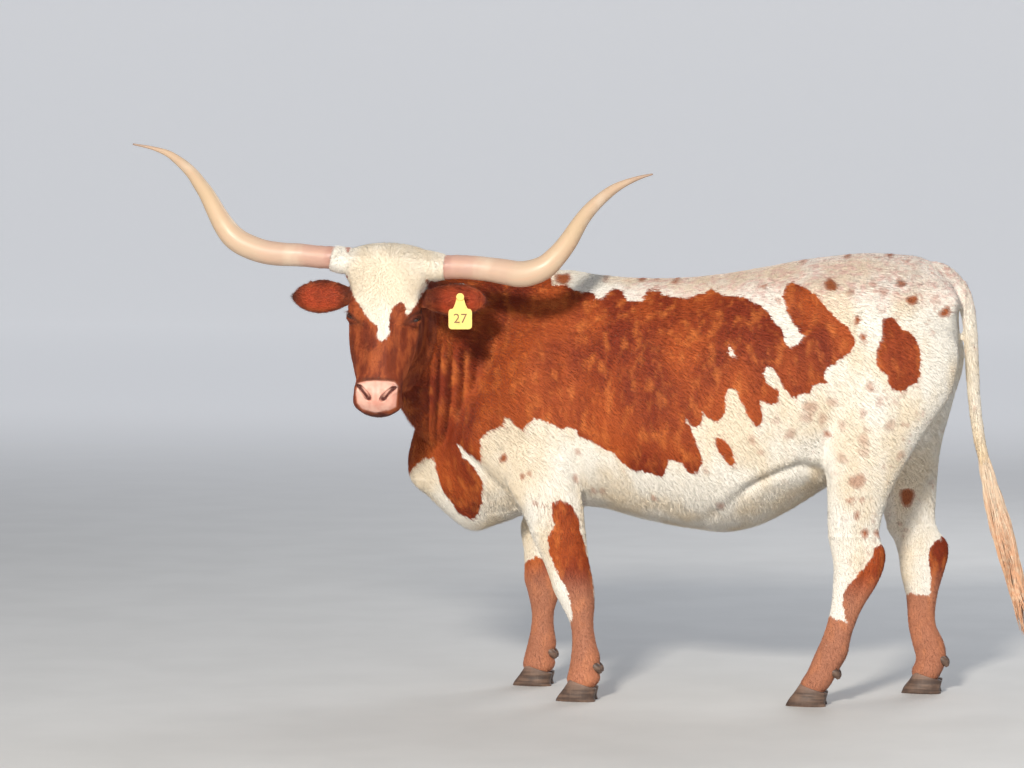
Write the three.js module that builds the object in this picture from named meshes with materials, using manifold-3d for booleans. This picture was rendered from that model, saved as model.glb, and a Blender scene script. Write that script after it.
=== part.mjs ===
// A life-size Texas longhorn cow, standing still with its head turned to its left.
// Millimetres, +Z up. It faces -X and its left side is -Y. The floor is Z = 0.
import * as THREE from "three";
import Module from "manifold-3d";

// Driving dimensions.
const withersHeight = 1292; // top of the shoulders
const rumpHeight = 1366; // top of the croup, higher than the withers
const bellyHeight = 508; // lowest point of the barrel
const chestFront = -885; // foremost point of the brisket
const rumpEnd = 830; // rearmost point of the buttock
const barrelHalf = 300; // half the width of the barrel
const headTurn = 4; // degrees that the face looks past square, towards the tail
const headTilt = 18; // degrees that the face leans forward of upright
const headRoll = 3; // degrees that the left ear hangs lower
const poll = [-861, -425, 1389]; // top of the head between the horns
const gap = 0.35; // clearance that touching pieces keep
const originX = -305; // middle of the whole animal, horns and tail included
const originY = -131;

const coatRed = { color: 0xa04a22, roughness: 0.75 };
const coatWhite = { color: 0xe9dcc4, roughness: 0.78 };
const hornCream = { color: 0xe2cba6, roughness: 0.45 };
const hoofDark = { color: 0x5a4438, roughness: 0.55 };
const eyeDark = { color: 0x1d120c, roughness: 0.12 };
const udderPink = { color: 0xd9a68c, roughness: 0.7 };
const switchCream = { color: 0xe0b98c, roughness: 0.8 };
const tagYellow = { color: 0xf2c53d, roughness: 0.5 };

const wasm = await Module();
wasm.setup();

const lerp = (a, b, t) => a + (b - a) * t;
const radians = THREE.MathUtils.degToRad;
const vector = (v) => (v.isVector3 ? v.clone() : new THREE.Vector3(...v));

// Adds in-between stations, so that every size runs smoothly along a piece.
// The first field says where a station lies.
function refine(stations, steps) {
  const names = Object.keys(stations[0]);
  const key = names[0];
  const slope = (i, name) => {
    const a = stations[Math.max(i - 1, 0)];
    const b = stations[i];
    const c = stations[Math.min(i + 1, stations.length - 1)];
    const before = b[key] - a[key];
    const after = c[key] - b[key];
    if (!before) return (c[name] - b[name]) / after;
    if (!after) return (b[name] - a[name]) / before;
    const rises = ((b[name] - a[name]) / before) * after + ((c[name] - b[name]) / after) * before;
    return rises / (before + after);
  };
  const refined = [];
  for (let i = 0; i < stations.length - 1; i++) {
    const span = stations[i + 1][key] - stations[i][key];
    for (let s = 0; s < steps; s++) {
      const t = s / steps;
      const station = {};
      for (const name of names) {
        const from = stations[i][name];
        const to = stations[i + 1][name];
        const out = slope(i, name) * span;
        const into = slope(i + 1, name) * span;
        station[name] =
          from * (1 + 2 * t) * (1 - t) ** 2 + to * t * t * (3 - 2 * t) + out * t * (1 - t) ** 2 - into * t * t * (1 - t);
      }
      refined.push(station);
    }
  }
  refined.push({ ...stations.at(-1) });
  return refined;
}

// A closed skin over rings of points that have one count, with its faces turned outwards.
function skinOver(rings) {
  const sides = rings[0].length;
  const positions = rings.flat().flatMap((p) => p.toArray());
  const ends = [rings[0], rings.at(-1)].map((ring) =>
    ring.reduce((sum, p) => sum.add(p), new THREE.Vector3()).divideScalar(sides),
  );
  const first = rings.length * sides;
  positions.push(...ends[0].toArray(), ...ends[1].toArray());
  const faces = [];
  for (let r = 0; r < rings.length - 1; r++)
    for (let s = 0; s < sides; s++) {
      const a = r * sides + s;
      const b = r * sides + ((s + 1) % sides);
      faces.push(a, b, b + sides, a, b + sides, a + sides);
    }
  const last = first - sides;
  for (let s = 0; s < sides; s++) {
    const next = (s + 1) % sides;
    faces.push(first, next, s, first + 1, last + s, last + next);
  }
  const corner = (i) => new THREE.Vector3().fromArray(positions, faces[i] * 3);
  let volume = 0;
  for (let i = 0; i < faces.length; i += 3) volume += corner(i).dot(corner(i + 1).cross(corner(i + 2)));
  if (volume < 0) faces.reverse();
  return new THREE.BufferGeometry()
    .setAttribute("position", new THREE.Float32BufferAttribute(positions, 3))
    .setIndex(faces);
}

const asManifold = (geometry) =>
  new wasm.Manifold(
    new wasm.Mesh({
      numProp: 3,
      vertProperties: new Float32Array(geometry.attributes.position.array),
      triVerts: new Uint32Array(geometry.index.array),
    }),
  );

// One of three.js's own geometries, with its doubled corners merged.
function asSolid(geometry) {
  const source = geometry.index ? geometry.toNonIndexed() : geometry;
  const corners = source.attributes.position;
  const seen = new Map();
  const positions = [];
  const index = [];
  const point = new THREE.Vector3();
  for (let i = 0; i < corners.count; i++) {
    point.fromBufferAttribute(corners, i);
    const label = point.toArray().map((v) => Math.round(v * 1e3)).join();
    if (!seen.has(label)) {
      seen.set(label, positions.length / 3);
      positions.push(...point.toArray());
    }
    index.push(seen.get(label));
  }
  const faces = [];
  for (let i = 0; i < index.length; i += 3) {
    const [a, b, c] = index.slice(i, i + 3);
    if (a !== b && b !== c && a !== c) faces.push(a, b, c);
  }
  return asManifold(
    new THREE.BufferGeometry()
      .setAttribute("position", new THREE.Float32BufferAttribute(positions, 3))
      .setIndex(faces),
  );
}

// A swelling or hollow: points near the middle move by the push, fading over the spread.
function swell(point, bumps) {
  const moved = point.clone();
  for (const { at, spread, push } of bumps) {
    const far = at.reduce((sum, c, k) => sum + ((point.getComponent(k) - c) / spread[k]) ** 2, 0);
    moved.addScaledVector(vector(push), Math.exp(-far));
  }
  return moved;
}

// One oval ring. It reaches half to each side, rise up and drop down. Roof and keel square off or
// sharpen its upper and lower halves, and egg makes it wider towards the top.
function ring({ at, side, up, half, rise, drop, roof = 2, keel = 2, egg = 0 }, sides) {
  const middle = vector(at);
  const points = [];
  for (let i = 0; i < sides; i++) {
    const angle = ((i + 0.5) / sides) * 2 * Math.PI;
    const [c, s] = [Math.cos(angle), Math.sin(angle)];
    const power = 2 / (s > 0 ? roof : keel);
    const across = Math.sign(c) * Math.abs(c) ** power;
    const along = Math.sign(s) * Math.abs(s) ** power;
    points.push(
      middle
        .clone()
        .addScaledVector(side, half * across * (1 + egg * along))
        .addScaledVector(up, (s > 0 ? rise : drop) * along),
    );
  }
  return points;
}

const union = (solids) => wasm.Manifold.union(solids);
const largest = (solid) => solid.decompose().sort((a, b) => b.volume() - a.volume())[0];
const mirrorBumps = (bumps) =>
  bumps.flatMap((b) => [b, { ...b, at: [b.at[0], -b.at[1], b.at[2]], push: [b.push[0], -b.push[1], b.push[2]] }]);

// Everything on the side of a plane that its normal points to, starting half a gap away.
function beyond(point, normal, reach = 4000) {
  const direction = vector(normal).normalize();
  const box = new THREE.BoxGeometry(reach, reach, reach);
  box.translate(0, 0, reach / 2 + gap / 2);
  box.applyQuaternion(new THREE.Quaternion().setFromUnitVectors(new THREE.Vector3(0, 0, 1), direction));
  box.translate(...point);
  return asSolid(box);
}

// A box between two corners.
function block(low, high) {
  const size = high.map((h, k) => h - low[k]);
  const box = new THREE.BoxGeometry(...size);
  box.translate(...low.map((l, k) => l + size[k] / 2));
  return asSolid(box);
}

const axisX = new THREE.Vector3(1, 0, 0);
const axisY = new THREE.Vector3(0, 1, 0);
const axisZ = new THREE.Vector3(0, 0, 1);

// Barrel, chest and croup, as upright rings from the brisket to the buttocks.
const torsoStations = [
  { x: chestFront, top: 735, wide: 702, bottom: 668, half: 14, roof: 2, keel: 2 },
  { x: -862, top: 800, wide: 712, bottom: 645, half: 50, roof: 2, keel: 2 },
  { x: -815, top: 905, wide: 730, bottom: 605, half: 88, roof: 2, keel: 1.8 },
  { x: -750, top: 1020, wide: 760, bottom: 543, half: 128, roof: 2, keel: 1.6 },
  { x: -680, top: 1120, wide: 785, bottom: 497, half: 165, roof: 2, keel: 1.5 },
  { x: -600, top: 1195, wide: 800, bottom: 518, half: 193, roof: 1.9, keel: 1.6 },
  { x: -500, top: 1285, wide: 820, bottom: 553, half: 215, roof: 1.75, keel: 1.8 },
  { x: -400, top: 1312, wide: 840, bottom: 575, half: 228, roof: 1.65, keel: 1.9 },
  { x: -280, top: withersHeight + 6, wide: 840, bottom: 578, half: 242, roof: 1.7, keel: 2 },
  { x: -150, top: 1288, wide: 830, bottom: 546, half: 270, roof: 1.8, keel: 2 },
  { x: 0, top: 1291, wide: 820, bottom: 518, half: barrelHalf - 5, roof: 1.85, keel: 2 },
  { x: 130, top: 1306, wide: 830, bottom: bellyHeight, half: barrelHalf + 3, roof: 1.9, keel: 2 },
  { x: 240, top: 1325, wide: 860, bottom: 540, half: barrelHalf - 3, roof: 2, keel: 2 },
  { x: 340, top: 1344, wide: 900, bottom: 598, half: 278, roof: 2.15, keel: 2.1 },
  { x: 430, top: 1356, wide: 950, bottom: 655, half: 258, roof: 2.3, keel: 2.2 },
  { x: 530, top: rumpHeight, wide: 990, bottom: 700, half: 246, roof: 2.2, keel: 2.2 },
  { x: 630, top: 1363, wide: 1020, bottom: 790, half: 230, roof: 2.05, keel: 2.2 },
  { x: 715, top: 1350, wide: 1045, bottom: 870, half: 196, roof: 1.9, keel: 2.2 },
  { x: 775, top: 1312, wide: 1065, bottom: 945, half: 155, roof: 1.9, keel: 2.2 },
  { x: 812, top: 1250, wide: 1085, bottom: 990, half: 108, roof: 2, keel: 2 },
  { x: rumpEnd, top: 1165, wide: 1095, bottom: 1030, half: 50, roof: 2, keel: 2 },
];
const torsoBumps = mirrorBumps([
  { at: [405, 225, 1265], spread: [62, 60, 48], push: [0, 34, 14] }, // hip bones
  { at: [790, 95, 1225], spread: [45, 42, 45], push: [26, 16, 6] }, // pin bones
  { at: [330, 215, 1175], spread: [75, 60, 85], push: [0, -30, -6] }, // hollow of the flank
  { at: [-640, 180, 800], spread: [90, 80, 110], push: [-4, 16, 0] }, // point of the shoulder
  { at: [-470, 195, 980], spread: [95, 80, 190], push: [0, 20, 0] }, // shoulder blade
  { at: [-320, 240, 1000], spread: [50, 90, 170], push: [0, -12, 0] }, // dip behind the shoulder
  { at: [560, 245, 1020], spread: [120, 90, 130], push: [0, 14, 0] }, // rump muscle
]).concat([{ at: [830, 0, 1150], spread: [50, 34, 110], push: [-24, 0, 0] }]); // under the tail

function torsoLoft(sides, steps) {
  const rings = refine(torsoStations, steps).map(({ x, top, wide, bottom, ...shape }) =>
    ring({ at: [x, 0, wide], side: axisY, up: axisZ, rise: top - wide, drop: wide - bottom, ...shape }, sides),
  );
  return asManifold(skinOver(rings.map((points) => points.map((p) => swell(p, torsoBumps)))));
}

// The neck bends from straight ahead round to the back of the turned head.
// Turn is the heading to the left of straight ahead, and climb its slope, in degrees.
const neckStations = [
  { s: 0, x: -420, y: 0, z: 965, turn: 0, climb: 2, half: 190, rise: 352, drop: 330, roof: 1.6, keel: 1.8 },
  { s: 1, x: -550, y: -4, z: 980, turn: 8, climb: 4, half: 166, rise: 346, drop: 330, roof: 1.6, keel: 1.6 },
  { s: 2, x: -665, y: -28, z: 1005, turn: 26, climb: 9, half: 144, rise: 322, drop: 305, roof: 1.7, keel: 1.5 },
  { s: 3, x: -760, y: -90, z: 1045, turn: 50, climb: 16, half: 126, rise: 288, drop: 262, roof: 1.8, keel: 1.5 },
  { s: 4, x: -820, y: -175, z: 1095, turn: 70, climb: 23, half: 112, rise: 250, drop: 210, roof: 1.9, keel: 1.6 },
  { s: 5, x: -848, y: -262, z: 1145, turn: 82, climb: 26, half: 104, rise: 208, drop: 168, roof: 2, keel: 1.8 },
  { s: 6, x: -858, y: -345, z: 1190, turn: 88, climb: 26, half: 96, rise: 160, drop: 130, roof: 2, keel: 2 },
];

function headingAxes(turn, climb) {
  const ahead = new THREE.Vector3(
    -Math.cos(radians(turn)) * Math.cos(radians(climb)),
    -Math.sin(radians(turn)) * Math.cos(radians(climb)),
    Math.sin(radians(climb)),
  );
  const side = new THREE.Vector3().crossVectors(ahead, axisZ).normalize();
  return { ahead, side, up: new THREE.Vector3().crossVectors(side, ahead) };
}

function neckLoft(sides, steps) {
  const rings = refine(neckStations, steps).map(({ s, x, y, z, turn, climb, ...shape }) => {
    const { side, up } = headingAxes(turn, climb);
    return ring({ at: [x, y, z], side, up, ...shape }, sides);
  });
  return asManifold(skinOver(rings));
}

// A frame for the head: left is the animal's own left, down runs from poll to muzzle along the
// face, and out points out of the face.
function headAxes() {
  const looks = new THREE.Vector3(Math.sin(radians(headTurn)), -Math.cos(radians(headTurn)), 0);
  const down = looks.clone().multiplyScalar(Math.sin(radians(headTilt)));
  down.addScaledVector(axisZ, -Math.cos(radians(headTilt)));
  const out = looks.clone().multiplyScalar(Math.cos(radians(headTilt)));
  out.addScaledVector(axisZ, Math.sin(radians(headTilt)));
  const left = new THREE.Vector3().crossVectors(out, down);
  for (const axis of [left, down]) axis.applyAxisAngle(out, radians(-headRoll));
  return { left, down, out };
}
const head = headAxes();
const inHead = (left, down, out) =>
  vector(poll).addScaledVector(head.left, left).addScaledVector(head.down, down).addScaledVector(head.out, out);

// The head as rings from poll to chin. Front and back are how far out of and behind the line of
// the face each ring reaches, and wide is where it is widest.
const headStations = [
  { d: -12, front: -18, wide: -45, back: -70, half: 84, nose: 2, jaw: 2, egg: 0 },
  { d: 2, front: 2, wide: -45, back: -98, half: 124, nose: 2.2, jaw: 2, egg: 0 },
  { d: 30, front: 18, wide: -45, back: -125, half: 138, nose: 2.5, jaw: 2.2, egg: 0 },
  { d: 75, front: 24, wide: -48, back: -150, half: 130, nose: 2.6, jaw: 2.2, egg: 0 },
  { d: 125, front: 24, wide: -55, back: -175, half: 113, nose: 2.6, jaw: 2.2, egg: 0 },
  { d: 175, front: 19, wide: -62, back: -205, half: 110, nose: 2.6, jaw: 2.2, egg: -0.02 },
  { d: 215, front: 10, wide: -75, back: -222, half: 110, nose: 2.5, jaw: 2.2, egg: -0.06 },
  { d: 260, front: -1, wide: -95, back: -220, half: 105, nose: 2.4, jaw: 2.2, egg: -0.12 },
  { d: 310, front: -8, wide: -98, back: -200, half: 94, nose: 2.4, jaw: 2.2, egg: -0.15 },
  { d: 360, front: -11, wide: -88, back: -166, half: 79, nose: 2.4, jaw: 2.3, egg: -0.1 },
  { d: 402, front: -10, wide: -74, back: -143, half: 71, nose: 2.5, jaw: 2.4, egg: 0 },
  { d: 440, front: -5, wide: -62, back: -130, half: 72, nose: 2.7, jaw: 2.5, egg: 0.02 },
  { d: 466, front: -9, wide: -62, back: -124, half: 71, nose: 2.7, jaw: 2.4, egg: 0 },
  { d: 487, front: -26, wide: -66, back: -116, half: 61, nose: 2.5, jaw: 2.2, egg: 0 },
  { d: 501, front: -50, wide: -74, back: -100, half: 40, nose: 2.2, jaw: 2, egg: 0 },
];
const eyeSpot = { left: 87, down: 214, out: -41, radius: 21 };
const headBumps = mirrorBumps([
  { at: [102, 190, -12], spread: [26, 26, 26], push: [9, -4, 9] }, // brow over the eye
  { at: [112, 150, -50], spread: [30, 40, 34], push: [-9, 0, 0] }, // temple
  { at: [92, 258, -28], spread: [26, 26, 30], push: [-7, 0, -4] }, // hollow below the eye
  { at: [92, 268, -150], spread: [40, 60, 50], push: [8, 0, 0] }, // cheek muscle
  { at: [80, 320, -62], spread: [22, 50, 24], push: [6, 0, 0] }, // ridge of the cheekbone
  { at: [56, 430, -14], spread: [24, 24, 22], push: [7, 0, 6] }, // wing of the nostril
  { at: [60, 468, -78], spread: [26, 20, 30], push: [6, 0, 0] }, // upper lip
]).concat([
  { at: [0, 498, -100], spread: [44, 24, 26], push: [0, 6, 0] }, // chin
  { at: [0, 340, -6], spread: [26, 90, 24], push: [0, 0, 5] }, // bridge of the nose
]);

function headLoft(sides, steps) {
  const rings = refine(headStations, steps).map(({ d, front, wide, back, half, nose, jaw, egg }) => {
    const local = ring(
      { at: [0, d, wide], side: axisX, up: axisZ, half, rise: front - wide, drop: wide - back, roof: nose, keel: jaw, egg },
      sides,
    );
    return local.map((p) => inHead(...swell(p, headBumps).toArray()));
  });
  return asManifold(skinOver(rings));
}

// A round-sectioned piece along a path. Each stop is a place and a radius, and flat squeezes the
// section along one direction.
function tube(stops, sides, steps, flat = { along: axisY, by: 1 }) {
  const stations = refine(stops.map(([x, y, z, r], s) => ({ s, x, y, z, r })), steps);
  const places = stations.map(({ x, y, z }) => new THREE.Vector3(x, y, z));
  const rings = stations.map(({ r }, i) => {
    const ahead = places[Math.min(i + 1, places.length - 1)].clone().sub(places[Math.max(i - 1, 0)]).normalize();
    const side = flat.along.clone().addScaledVector(ahead, -flat.along.dot(ahead)).normalize();
    const up = new THREE.Vector3().crossVectors(side, ahead);
    return ring({ at: places[i], side, up, half: r * flat.by, rise: r, drop: r }, sides);
  });
  return asManifold(skinOver(rings));
}

// Horns: out to the side, then up, with the tips turned out again. Stops are in the head's frame
// as sideways from the middle, up, forward and radius.
const hornStops = {
  left: [
    [118, -46, -42, 37], [173, -44, -42, 36], [215, -41, -42, 36], [261, -42, -40, 36], [306, -46, -35, 36.5],
    [353, -53, -28, 38], [399, -60, -19, 39], [438, -54, -11, 38], [473, -38, -4, 35.5], [498, -13, 0, 32.5],
    [520, 16, 1, 30], [539, 48, -1, 28], [555, 82, -5, 25.5], [571, 115, -10, 23], [592, 149, -15, 21],
    [620, 184, -21, 18.5], [655, 219, -27, 15], [691, 244, -32, 10.5], [734, 265, -35, 6], [772, 278, -36, 2.5],
  ],
  right: [
    [118, -36, -42, 36], [169, -33, -42, 34], [209, -33, -42, 34], [269, -31, -39, 34.5], [329, -33, -33, 35.5],
    [383, -29, -26, 36], [439, -13, -15, 36], [474, 8, -7, 35], [502, 39, -2, 32], [526, 74, -1, 28.5],
    [547, 108, -3, 26], [568, 140, -8, 23.5], [593, 172, -14, 21], [613, 197, -19, 18.8], [639, 222, -24, 16.5],
    [670, 246, -29, 13.5], [703, 266, -33, 10], [752, 281, -36, 5.5], [811, 290, -36, 2.5],
  ],
};
const hornRoot = 172; // where the horn leaves the skin, sideways from the middle of the head

function hornSolid(name, sides, steps) {
  const sign = name === "left" ? 1 : -1;
  const stops = hornStops[name].map(([side, up, out, r]) => [...inHead(sign * side, -up, out).toArray(), r]);
  return tube(stops, sides, steps, { along: head.out, by: 1 });
}

// The collar of skin and hair that the horn grows out of.
function hornCollar(name, sides) {
  const sign = name === "left" ? 1 : -1;
  const level = name === "left" ? 44 : 34;
  const stops = [
    [70, 40, -40, 52], [110, level, -42, 52], [140, level, -42, 47], [165, level, -42, 41.5], [185, level - 1, -42, 38.5],
  ].map(([side, down, out, r]) => [...inHead(sign * side, down, out).toArray(), r]);
  return tube(stops, sides, 1, { along: head.out, by: 1.02 });
}

// Ears: leaf-shaped cups held out sideways. Reach runs from root to tip.
const earStations = [
  { t: 0, width: 52, cup: 34, wall: 26 },
  { t: 0.12, width: 60, cup: 36, wall: 20 },
  { t: 0.3, width: 86, cup: 36, wall: 8 },
  { t: 0.5, width: 102, cup: 31, wall: 6 },
  { t: 0.68, width: 96, cup: 24, wall: 5 },
  { t: 0.84, width: 68, cup: 14, wall: 5 },
  { t: 0.95, width: 32, cup: 7, wall: 4 },
  { t: 1, width: 10, cup: 3, wall: 3 },
];
const earPlaces = {
  left: { root: [96, 138, -72], towards: [0.985, -0.07, -0.1], roll: -8, length: 206 },
  right: { root: [-96, 138, -72], towards: [-0.985, 0.06, -0.06], roll: 8, length: 192 },
};

function earFrame(name) {
  const { root, towards, roll, length } = earPlaces[name];
  const ahead = new THREE.Vector3()
    .addScaledVector(head.left, towards[0])
    .addScaledVector(head.down, towards[1])
    .addScaledVector(head.out, towards[2])
    .normalize();
  const open = head.out.clone().addScaledVector(head.down, 0.1);
  open.addScaledVector(ahead, -open.dot(ahead)).normalize();
  open.applyAxisAngle(ahead, radians(roll));
  const across = new THREE.Vector3().crossVectors(ahead, open);
  return { root: inHead(...root), ahead, open, across, length };
}

function earSolid(name, points, steps) {
  const { root, ahead, open, across, length } = earFrame(name);
  const rings = refine(earStations, steps).map(({ t, width, cup, wall }) => {
    const middle = root.clone().addScaledVector(ahead, t * length);
    const outline = [];
    for (let i = 0; i <= points; i++) {
      const u = -1 + (2 * i) / points;
      outline.push([(width / 2) * u, -cup * (1 - u * u)]);
    }
    for (let i = points - 1; i > 0; i--) {
      const u = -1 + (2 * i) / points;
      outline.push([(width / 2 - 1.5) * u, (wall - cup) * (1 - u * u) + 2.5]);
    }
    return outline.map(([a, b]) => middle.clone().addScaledVector(across, a).addScaledVector(open, b));
  });
  return asManifold(skinOver(rings));
}

// Legs as level rings. Each has the place of its front and rear edge, its middle sideways and half
// its width. Nose and heel square off its front and rear, and egg makes the front wider.
const foreLeft = [
  { z: 880, front: -540, rear: -380, y: 140, half: 50, nose: 2, heel: 2, egg: 0 },
  { z: 800, front: -555, rear: -350, y: 156, half: 62, nose: 2, heel: 2, egg: 0 },
  { z: 730, front: -555, rear: -325, y: 166, half: 70, nose: 2, heel: 2, egg: 0 },
  { z: 650, front: -538, rear: -312, y: 168, half: 68, nose: 2, heel: 2, egg: 0 },
  { z: 570, front: -497, rear: -302, y: 168, half: 61, nose: 2, heel: 2, egg: 0 },
  { z: 490, front: -463, rear: -296, y: 167, half: 54, nose: 2, heel: 2, egg: 0.05 },
  { z: 420, front: -430, rear: -287, y: 166, half: 47, nose: 2, heel: 2, egg: 0.05 },
  { z: 375, front: -412, rear: -277, y: 166, half: 46, nose: 2.3, heel: 2, egg: 0.05 },
  { z: 332, front: -398, rear: -271, y: 166, half: 48, nose: 2.4, heel: 2.1, egg: 0.08 },
  { z: 292, front: -377, rear: -271, y: 166, half: 41, nose: 2.2, heel: 2.1, egg: 0.05 },
  { z: 230, front: -348, rear: -274, y: 166, half: 31, nose: 2, heel: 2.2, egg: 0 },
  { z: 175, front: -343, rear: -266, y: 166, half: 32, nose: 2, heel: 2.2, egg: 0 },
  { z: 132, front: -346, rear: -254, y: 166, half: 40, nose: 2.1, heel: 2.3, egg: 0 },
  { z: 92, front: -352, rear: -256, y: 166, half: 43, nose: 2.2, heel: 2.2, egg: 0 },
  { z: 55, front: -360, rear: -254, y: 166, half: 49, nose: 2.4, heel: 2.3, egg: 0 },
  { z: 20, front: -364, rear: -254, y: 166, half: 49, nose: 2.4, heel: 2.3, egg: 0 },
];
// Moves a leg's rings: each entry of the guide says how far the leg is shifted forward there.
const shifted = (leg, guide) =>
  leg.map((ringSizes) => {
    const over = guide.findIndex(([z]) => z <= ringSizes.z);
    const [z1, s1] = guide[over < 0 ? guide.length - 1 : over];
    const [z0, s0] = guide[Math.max((over < 0 ? guide.length : over) - 1, 0)];
    const shift = z0 === z1 ? s1 : lerp(s1, s0, (ringSizes.z - z1) / (z0 - z1));
    return { ...ringSizes, front: ringSizes.front + shift, rear: ringSizes.rear + shift };
  });
const foreRight = shifted(foreLeft, [[880, 0], [730, 0], [570, -40], [490, -88], [332, -140], [230, -168], [100, -186], [0, -182]]);

const hindLeft = [
  { z: 1265, front: 560, rear: 700, y: 88, half: 42, nose: 2, heel: 2, egg: 0 },
  { z: 1200, front: 515, rear: 745, y: 105, half: 66, nose: 2, heel: 2, egg: 0 },
  { z: 1110, front: 462, rear: 818, y: 130, half: 97, nose: 2, heel: 2, egg: 0 },
  { z: 1010, front: 425, rear: 824, y: 145, half: 113, nose: 2, heel: 2, egg: 0.05 },
  { z: 930, front: 405, rear: 799, y: 150, half: 112, nose: 2, heel: 2, egg: 0.1 },
  { z: 870, front: 398, rear: 759, y: 156, half: 106, nose: 2, heel: 2, egg: 0.1 },
  { z: 800, front: 404, rear: 711, y: 162, half: 97, nose: 2, heel: 2, egg: 0.1 },
  { z: 730, front: 420, rear: 670, y: 168, half: 86, nose: 2, heel: 2, egg: 0.1 },
  { z: 660, front: 431, rear: 635, y: 172, half: 73, nose: 2, heel: 2, egg: 0.1 },
  { z: 600, front: 434, rear: 612, y: 173, half: 60, nose: 2, heel: 2, egg: 0.15 },
  { z: 545, front: 434, rear: 598, y: 173, half: 50, nose: 2, heel: 2, egg: 0.22 },
  { z: 505, front: 438, rear: 596, y: 172, half: 45, nose: 2, heel: 2, egg: 0.28 },
  { z: 468, front: 446, rear: 612, y: 171, half: 44, nose: 2.1, heel: 2.1, egg: 0.25 },
  { z: 425, front: 453, rear: 610, y: 170, half: 44, nose: 2.2, heel: 2.1, egg: 0.2 },
  { z: 370, front: 452, rear: 588, y: 170, half: 39, nose: 2.2, heel: 2, egg: 0.12 },
  { z: 290, front: 444, rear: 541, y: 170, half: 32, nose: 2, heel: 2.1, egg: 0 },
  { z: 210, front: 422, rear: 511, y: 170, half: 32, nose: 2, heel: 2.2, egg: 0 },
  { z: 150, front: 396, rear: 498, y: 170, half: 40, nose: 2.1, heel: 2.3, egg: 0 },
  { z: 100, front: 375, rear: 470, y: 170, half: 43, nose: 2.2, heel: 2.2, egg: 0 },
  { z: 55, front: 352, rear: 452, y: 170, half: 48, nose: 2.4, heel: 2.3, egg: 0 },
  { z: 20, front: 340, rear: 446, y: 170, half: 48, nose: 2.4, heel: 2.3, egg: 0 },
];
const hindRight = shifted(hindLeft, [
  [1265, 0], [930, 10], [800, 62], [660, 118], [600, 138], [505, 160], [468, 172], [370, 186], [290, 212], [210, 240], [100, 312], [0, 332],
]);

function legLoft(stations, sign, sides, steps) {
  const descending = stations.map(({ z, ...sizes }) => ({ depth: -z, ...sizes }));
  const forward = axisX.clone().negate();
  const rings = refine(descending, steps).map(({ depth, front, rear, y, half, nose, heel, egg }) => {
    const middle = (front + rear) / 2;
    const reach = (rear - front) / 2;
    const at = [middle, sign * y, -depth];
    return ring({ at, side: axisY, up: forward, half, rise: reach, drop: reach, roof: nose, keel: heel, egg }, sides);
  });
  return asManifold(skinOver(rings));
}

// A cloven hoof is two claws. Coronet is the sloping plane where horn meets skin.
const hoof = { length: 122, half: 25.5, cleft: 5, front: 66, rear: 40, slope: 44 };
const claws = [
  { h: 0, toe: 0, heel: 0, half: 0.96 },
  { h: 7, toe: 3, heel: -2, half: 1 },
  { h: 34, toe: 22, heel: 2, half: 0.97 },
  { h: 80, toe: 53, heel: 8, half: 0.9 },
];

function clawSolid(toe, y, sides) {
  const rings = claws.map(({ h, toe: back, heel, half }) => {
    const front = toe + back;
    const rear = toe + hoof.length + heel;
    const at = [front + (rear - front) * 0.6, y, h];
    const shape = { half: hoof.half * half, rise: at[0] - front, drop: rear - at[0], roof: 1.7, keel: 2.6 };
    return ring({ at, side: axisY, up: axisX.clone().negate(), ...shape }, sides);
  });
  return asManifold(skinOver(rings));
}

// Above the coronet, for a foot whose toe is at this place.
const aboveCoronet = (toe, sign) => {
  const front = [toe + hoof.slope, 0, hoof.front];
  const rear = [toe + hoof.length, 0, hoof.rear];
  const along = vector(rear).sub(vector(front));
  const normal = new THREE.Vector3(-along.z, 0, along.x).multiplyScalar(sign);
  return beyond(front, normal.toArray());
};

// The two small claws at the back of the pastern.
function dewclaw(rear, z, y, grow, sides) {
  const stops = [
    [rear - 22, y, z + 8, 12 + grow], [rear - 6, y, z + 4, 15 + grow], [rear + 8, y, z - 4, 13.5 + grow], [rear + 19, y, z - 14, 7 + grow],
  ];
  return tube(stops, sides, 1, { along: axisY, by: 0.9 });
}

// The tail leaves the croup, falls close behind the buttocks and swings back and out.
const tailStops = [
  [690, 0, 1300, 40], [745, 0, 1308, 38], [790, -2, 1290, 34], [824, -5, 1250, 29], [843, -9, 1200, 25.5],
  [854, -14, 1130, 22.5], [860, -20, 1050, 20.5], [866, -27, 960, 19], [874, -34, 880, 18], [886, -41, 800, 17.5],
  [900, -47, 740, 17],
];
const switchStops = [
  [900, -47, 740, 17], [917, -53, 675, 23], [936, -59, 610, 26], [956, -65, 540, 26], [975, -70, 470, 23], [991, -74, 400, 16],
  [1003, -77, 335, 7],
];
const tailCut = { at: [836, -7, 1222], normal: [0.33, -0.07, -1] };
const switchCut = { at: [900, -47, 740], normal: [0.24, -0.09, -1] };

// Random numbers from a fixed seed, so that every run gives the same locks.
function seeded(seed) {
  let state = seed;
  return () => {
    state = (state * 1664525 + 1013904223) % 4294967296;
    return state / 4294967296;
  };
}

// The switch is a core with flat, tapering locks that root in it and sweep down over each other.
const lockRows = [
  { from: 0.4, count: 5, length: 235, width: 17 },
  { from: 1.6, count: 6, length: 250, width: 19 },
  { from: 2.8, count: 6, length: 245, width: 19 },
  { from: 4.1, count: 5, length: 215, width: 17 },
];

function switchPoint(t) {
  const i = Math.min(Math.floor(t), switchStops.length - 2);
  return switchStops[i].map((v, k) => lerp(v, switchStops[i + 1][k], t - i));
}

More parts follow.
